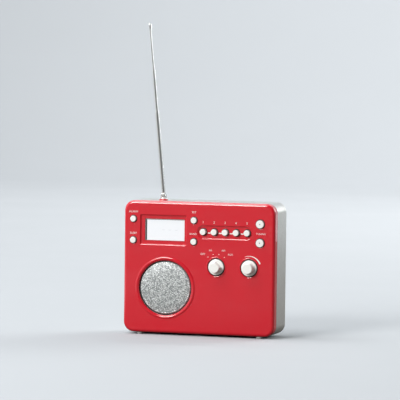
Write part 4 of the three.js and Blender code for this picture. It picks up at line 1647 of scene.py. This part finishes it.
@dataclass
class BackFittings:
    """The battery door and cells, and the sockets."""

    layout: Layout
    door_height: float = 40.0

    def door(self) -> bpy.types.Object:
        """Build the battery door with its tabs, catch and finger ribs.

        Returns:
            The finished object.
        """
        plate = Slab(113, self.door_height, 1.7, BACK - 2.4, BACK, 0.4)
        leaf = mesh_object("cell_door", plate.shape(0, self.layout.door_z))
        tabs = []
        for side in (-1, 1):
            low, high = side * 36 - 5, side * 36 + 5
            tabs.append(block((low, BACK - 4.4, 11.4), (high, BACK - 2.2, 13.6)))
            tabs.append(block((low, BACK - 4.4, 8.4), (high, BACK - 2.7, 11.6)))
        tabs.append(block((-7, BACK - 3.6, 48), (7, BACK - 2.2, 50.8)))
        tabs.append(block((-7, BACK - 3.6, 50.6), (7, BACK - 2.7, 52.4)))
        carve(leaf, "UNION", tabs)
        ribs = [
            Slab(16 - 1.6 * i, 0.9, 0.44, BACK - 0.6, BACK + 1, 0.03).shape(0, 46 - 1.9 * i) for i in range(5)
        ]
        return smooth(carve(leaf, "DIFFERENCE", ribs), 30)

    def jack(self, spec: JackSpec) -> bpy.types.Object:
        """Build a socket: its nose, the block behind it and its bore.

        Args:
            spec: its name, place and sizes.

        Returns:
            The finished object.
        """
        x, z, radius, bore = self.layout.jack_x, spec.z, spec.radius, spec.bore
        nose = filleted([
            (0, BACK - 5), (radius, BACK - 5), (radius, BACK, 0.4), (bore + 0.5, BACK, 0.1), (bore, BACK - 0.5),
            (bore, BACK - 3), (0, BACK - 3),
        ])
        body = mesh_object(spec.name, turned(nose, 48).moved(x, 0, z))
        case = Slab(12, 12, 0.8, BACK - 16, BACK - 2.7, 0.3).shape(x, z)
        deep = rod(bore, BACK - 11, BACK - 2, 40)
        carve(body, "UNION", [case])
        carve(body, "DIFFERENCE", [deep.moved(x, 0, z)])
        if spec.name == "power_socket":
            pin = filleted([(0, BACK - 12), (1, BACK - 12), (1, BACK - 1.5, 0.4), (0, BACK - 1.5)])
            carve(body, "UNION", [turned(pin, 32).moved(x, 0, z)])
        return smooth(body)

    def cell(self, number: int) -> bpy.types.Object:
        """Build one round cell with its crimped end and raised contact.

        Args:
            number: which one it is, from 1.

        Returns:
            The finished object.
        """
        row, column = (number - 1) % 2, (number - 1) // 2
        line = filleted([
            (0, -25), (5.2, -25, 0.1), (5.4, -24.8, 0.1), (6.9, -24.8, 0.4), (7.15, -24, 0.2), (7.15, 24, 0.5),
            (6.4, 24.2, 0.2), (6.2, 23.8, 0.1), (2.7, 23.8, 0.1), (2.6, 25, 0.3), (0, 25),
        ])
        points = [(r, a if row == 0 else -a) for r, a in line]
        spot = ((column - 0.5) * 52, at(43.5), 31.2 + (row - 0.5) * 14.9)
        return smooth(mesh_object(f"round_cell_{number}", turned(points, 48, Axis.ACROSS).moved(*spot)))

    def pieces(self) -> list[Piece]:
        """Return the fittings at the back.

        Returns:
            The pieces, ready to place.
        """
        made = [Piece(self.door(), "battery_door", "silver_lacquer", ("battery_door",))]
        for spec in self.layout.jacks:
            made.append(Piece(self.jack(spec), "cabinet", "black_moulding", (spec.node,)))
        made += [Piece(self.cell(i), "cabinet", "cell_sleeve", (f"battery_cell_{i}",)) for i in (1, 2, 3, 4)]
        return made


# ------------------------------------------------------------------ studio


@dataclass
class Studio:
    """Camera, lights and floor."""

    yaw: float = 17.2
    elevation: float = 3.13
    roll: float = 0.72
    distance: float = 3545.0
    target: tuple[float, float, float] = (-7.59, 4.75, 159.0)
    lens: float = 270.3
    pale: Colour = (0.42, 0.44, 0.46)
    bounce: Colour = (0.12, 0.11, 0.1)
    glow_behind: Point = (0.05, 0.6)
    glow_left: Point = (0.0, 1.0)
    glow_right: Point = (0.0, 0.45)
    sky: float = 0.66

    def camera(self) -> None:
        """Make the camera and use it for the scene."""
        data = bpy.data.cameras.new("camera")
        data.lens, data.sensor_width, data.clip_end = self.lens, 36.0, 50.0
        holder = bpy.data.objects.new("camera", data)
        bpy.context.scene.collection.objects.link(holder)
        yaw, rise = math.radians(self.yaw), math.radians(self.elevation)
        away = Vector((math.sin(yaw) * math.cos(rise), -math.cos(yaw) * math.cos(rise), math.sin(rise)))
        holder.location = (Vector(self.target) + away * self.distance) * MM
        spin = Matrix.Rotation(math.radians(self.roll), 4, "Z")
        holder.rotation_euler = (away.to_track_quat("Z", "Y").to_matrix().to_4x4() @ spin).to_euler()
        bpy.context.scene.camera = holder

    def lamp(
        self, name: str, spot: Sequence[float], size: Point, power: float, colour: Colour,
        aim: tuple[float, float, float] = (0.0, 0.0, 0.1),
    ) -> None:
        """Add a soft panel light.

        Args:
            name: the light's name.
            spot: the middle of the panel, in metres.
            size: width and height of the panel, in metres.
            power: strength in watts.
            colour: colour of the light.
            aim: the point that the panel faces, in metres.
        """
        data = bpy.data.lights.new(name, "AREA")
        data.shape, data.size, data.size_y = "RECTANGLE", *size
        data.energy, data.color = power, colour
        holder = bpy.data.objects.new(name, data)
        bpy.context.scene.collection.objects.link(holder)
        holder.location = spot
        holder.rotation_euler = (Vector(spot) - Vector(aim)).to_track_quat("Z", "Y").to_euler()

    def ground(self, name: str, line: Sequence[Point], half: float, bounce: Colour) -> None:
        """Lay a stretch of pale floor or backdrop.

        Args:
            name: name of the piece.
            line: its (y, z) points, in metres.
            half: half of its width, in metres.
            bounce: the colour that it shows to everything but the camera, which holds back stray light.
        """
        corners = [(x, y, z) for y, z in line for x in (-half, half)]
        faces = [(i, i + 1, i + 3, i + 2) for i in range(0, len(corners) - 2, 2)]
        mesh = bpy.data.meshes.new(name)
        mesh.from_pydata(corners, [], faces)
        mesh.polygons.foreach_set("use_smooth", [True] * len(faces))
        ground = bpy.data.objects.new(name, mesh)
        bpy.context.scene.collection.objects.link(ground)
        finish = Finish(
            "floor", self.pale, 0.8, grain_scale=60, patch_scale=3, unevenness=0.04, wear=0, dust=0,
            specular=0.1,
        )
        finish.dress(ground, "pale_" + name)
        graph = Graph(bpy.data.materials["pale_" + name].node_tree)
        plug = graph.tree.nodes["Principled BSDF"].inputs["Base Color"]
        spot = graph.add("SeparateXYZ", None, Vector=place(graph))
        aside = graph.sum("MULTIPLY", graph.between(spot.outputs["X"], -0.25, -0.5),
                          graph.between(spot.outputs["Y"], -1.0, -0.6))
        seen = graph.add("LightPath").outputs["Is Camera Ray"]
        shown = graph.tint(graph.sum("MAXIMUM", seen, aside), (*bounce, 1.0), plug.links[0].from_socket)
        graph.tree.links.new(shown, plug)

    def world(self) -> None:
        """Surround the radio with a soft glow: dim in front and to the right, bright to the left and behind."""
        world = bpy.data.worlds.new("studio")
        world.use_nodes = True
        bpy.context.scene.world = world
        graph = Graph(world.node_tree)
        way = graph.add("SeparateXYZ", None, Vector=graph.add("TexCoord").outputs["Generated"])
        behind = graph.between(way.outputs["Y"], -0.2, 0.8, *self.glow_behind)
        left = graph.between(way.outputs["X"], -0.25, -0.65, *self.glow_left)
        right = graph.between(way.outputs["X"], 0.55, 0.9, *self.glow_right)
        glow = graph.sum("ADD", graph.sum("MAXIMUM", behind, left), right)
        seen = graph.add("LightPath").outputs["Is Camera Ray"]
        strength = graph.add("Mix", None, s0=seen, s2=glow, s3=self.sky).outputs[0]
        background = world.node_tree.nodes["Background"]
        background.inputs["Color"].default_value = (0.92, 0.97, 1.0, 1.0)
        graph.tree.links.new(strength, background.inputs["Strength"])

    def build(self) -> None:
        """Make the camera, lights, world and floor."""
        self.camera()
        self.ground("floor", [(-6.0, 0.0), (1.6, 0.0)], 3.0, self.bounce)
        self.ground("backdrop", filleted([(1.6, 0.0), (5.0, 0.0, 3.0), (5.0, 6.0)], 16), 9.0, self.pale)
        self.lamp("key_light", (-1.3, -3.0, 1.6), (1.3, 1.3), 110, (1.0, 0.99, 0.97))
        self.lamp("top_light", (-0.85, -0.45, 2.3), (2.1, 1.5), 54, (0.98, 0.99, 1.0))
        self.lamp("side_light", (2.2, 2.6, 1.4), (2.0, 1.6), 85, (1.0, 1.0, 0.98))
        self.lamp("back_light", (0.0, 2.2, 3.4), (4.0, 1.2), 190, (1.0, 1.0, 1.0), (0.0, 5.0, 1.0))
        self.world()
        bpy.context.scene.view_settings.view_transform = "Standard"


# ------------------------------------------------------------------ carried-over parts

CARRIED = {
    "grille_cloth": "dust_cloth", "speaker_frame": "zinc_plate", "speaker_surround": "dark_rubber",
    "speaker_cone": "pressed_paper", "speaker_magnet": "sintered_ferrite", "lcd_module": "black_moulding",
    "control_board": "board_laminate", "main_board": "board_laminate", "selector_shaft": "zinc_plate",
    "volume_shaft": "zinc_plate", "selector_switch": "zinc_plate", "volume_control": "zinc_plate",
    "tuner_can": "zinc_plate", "ferrite_rod": "sintered_ferrite", "ferrite_coil": "wound_copper",
    "antenna_nut": "turned_brass", "antenna_clip": "zinc_plate", "antenna_pin": "zinc_plate",
    "battery_tray": "black_moulding",
}


def dress_carried() -> None:
    """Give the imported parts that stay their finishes."""
    for node, finish in CARRIED.items():
        FINISHES[finish].dress(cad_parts[node], finish)
        log.info("%s keeps its shape and takes %s", node, finish)


def main() -> None:
    """Build every piece of the radio in order."""
    logging.basicConfig(level=logging.INFO, format="%(name)s: %(message)s")
    layout = Layout()
    groups = (
        Cabinet(layout), Grille(layout), Keypad(layout), Knobs(layout), Display(layout), Legends(layout),
        Aerial(layout), BackFittings(layout),
    )
    for group in groups:
        for piece in group.pieces():
            piece.place()
    dress_carried()
    Studio().build()


if __name__ == "__main__":
    main()
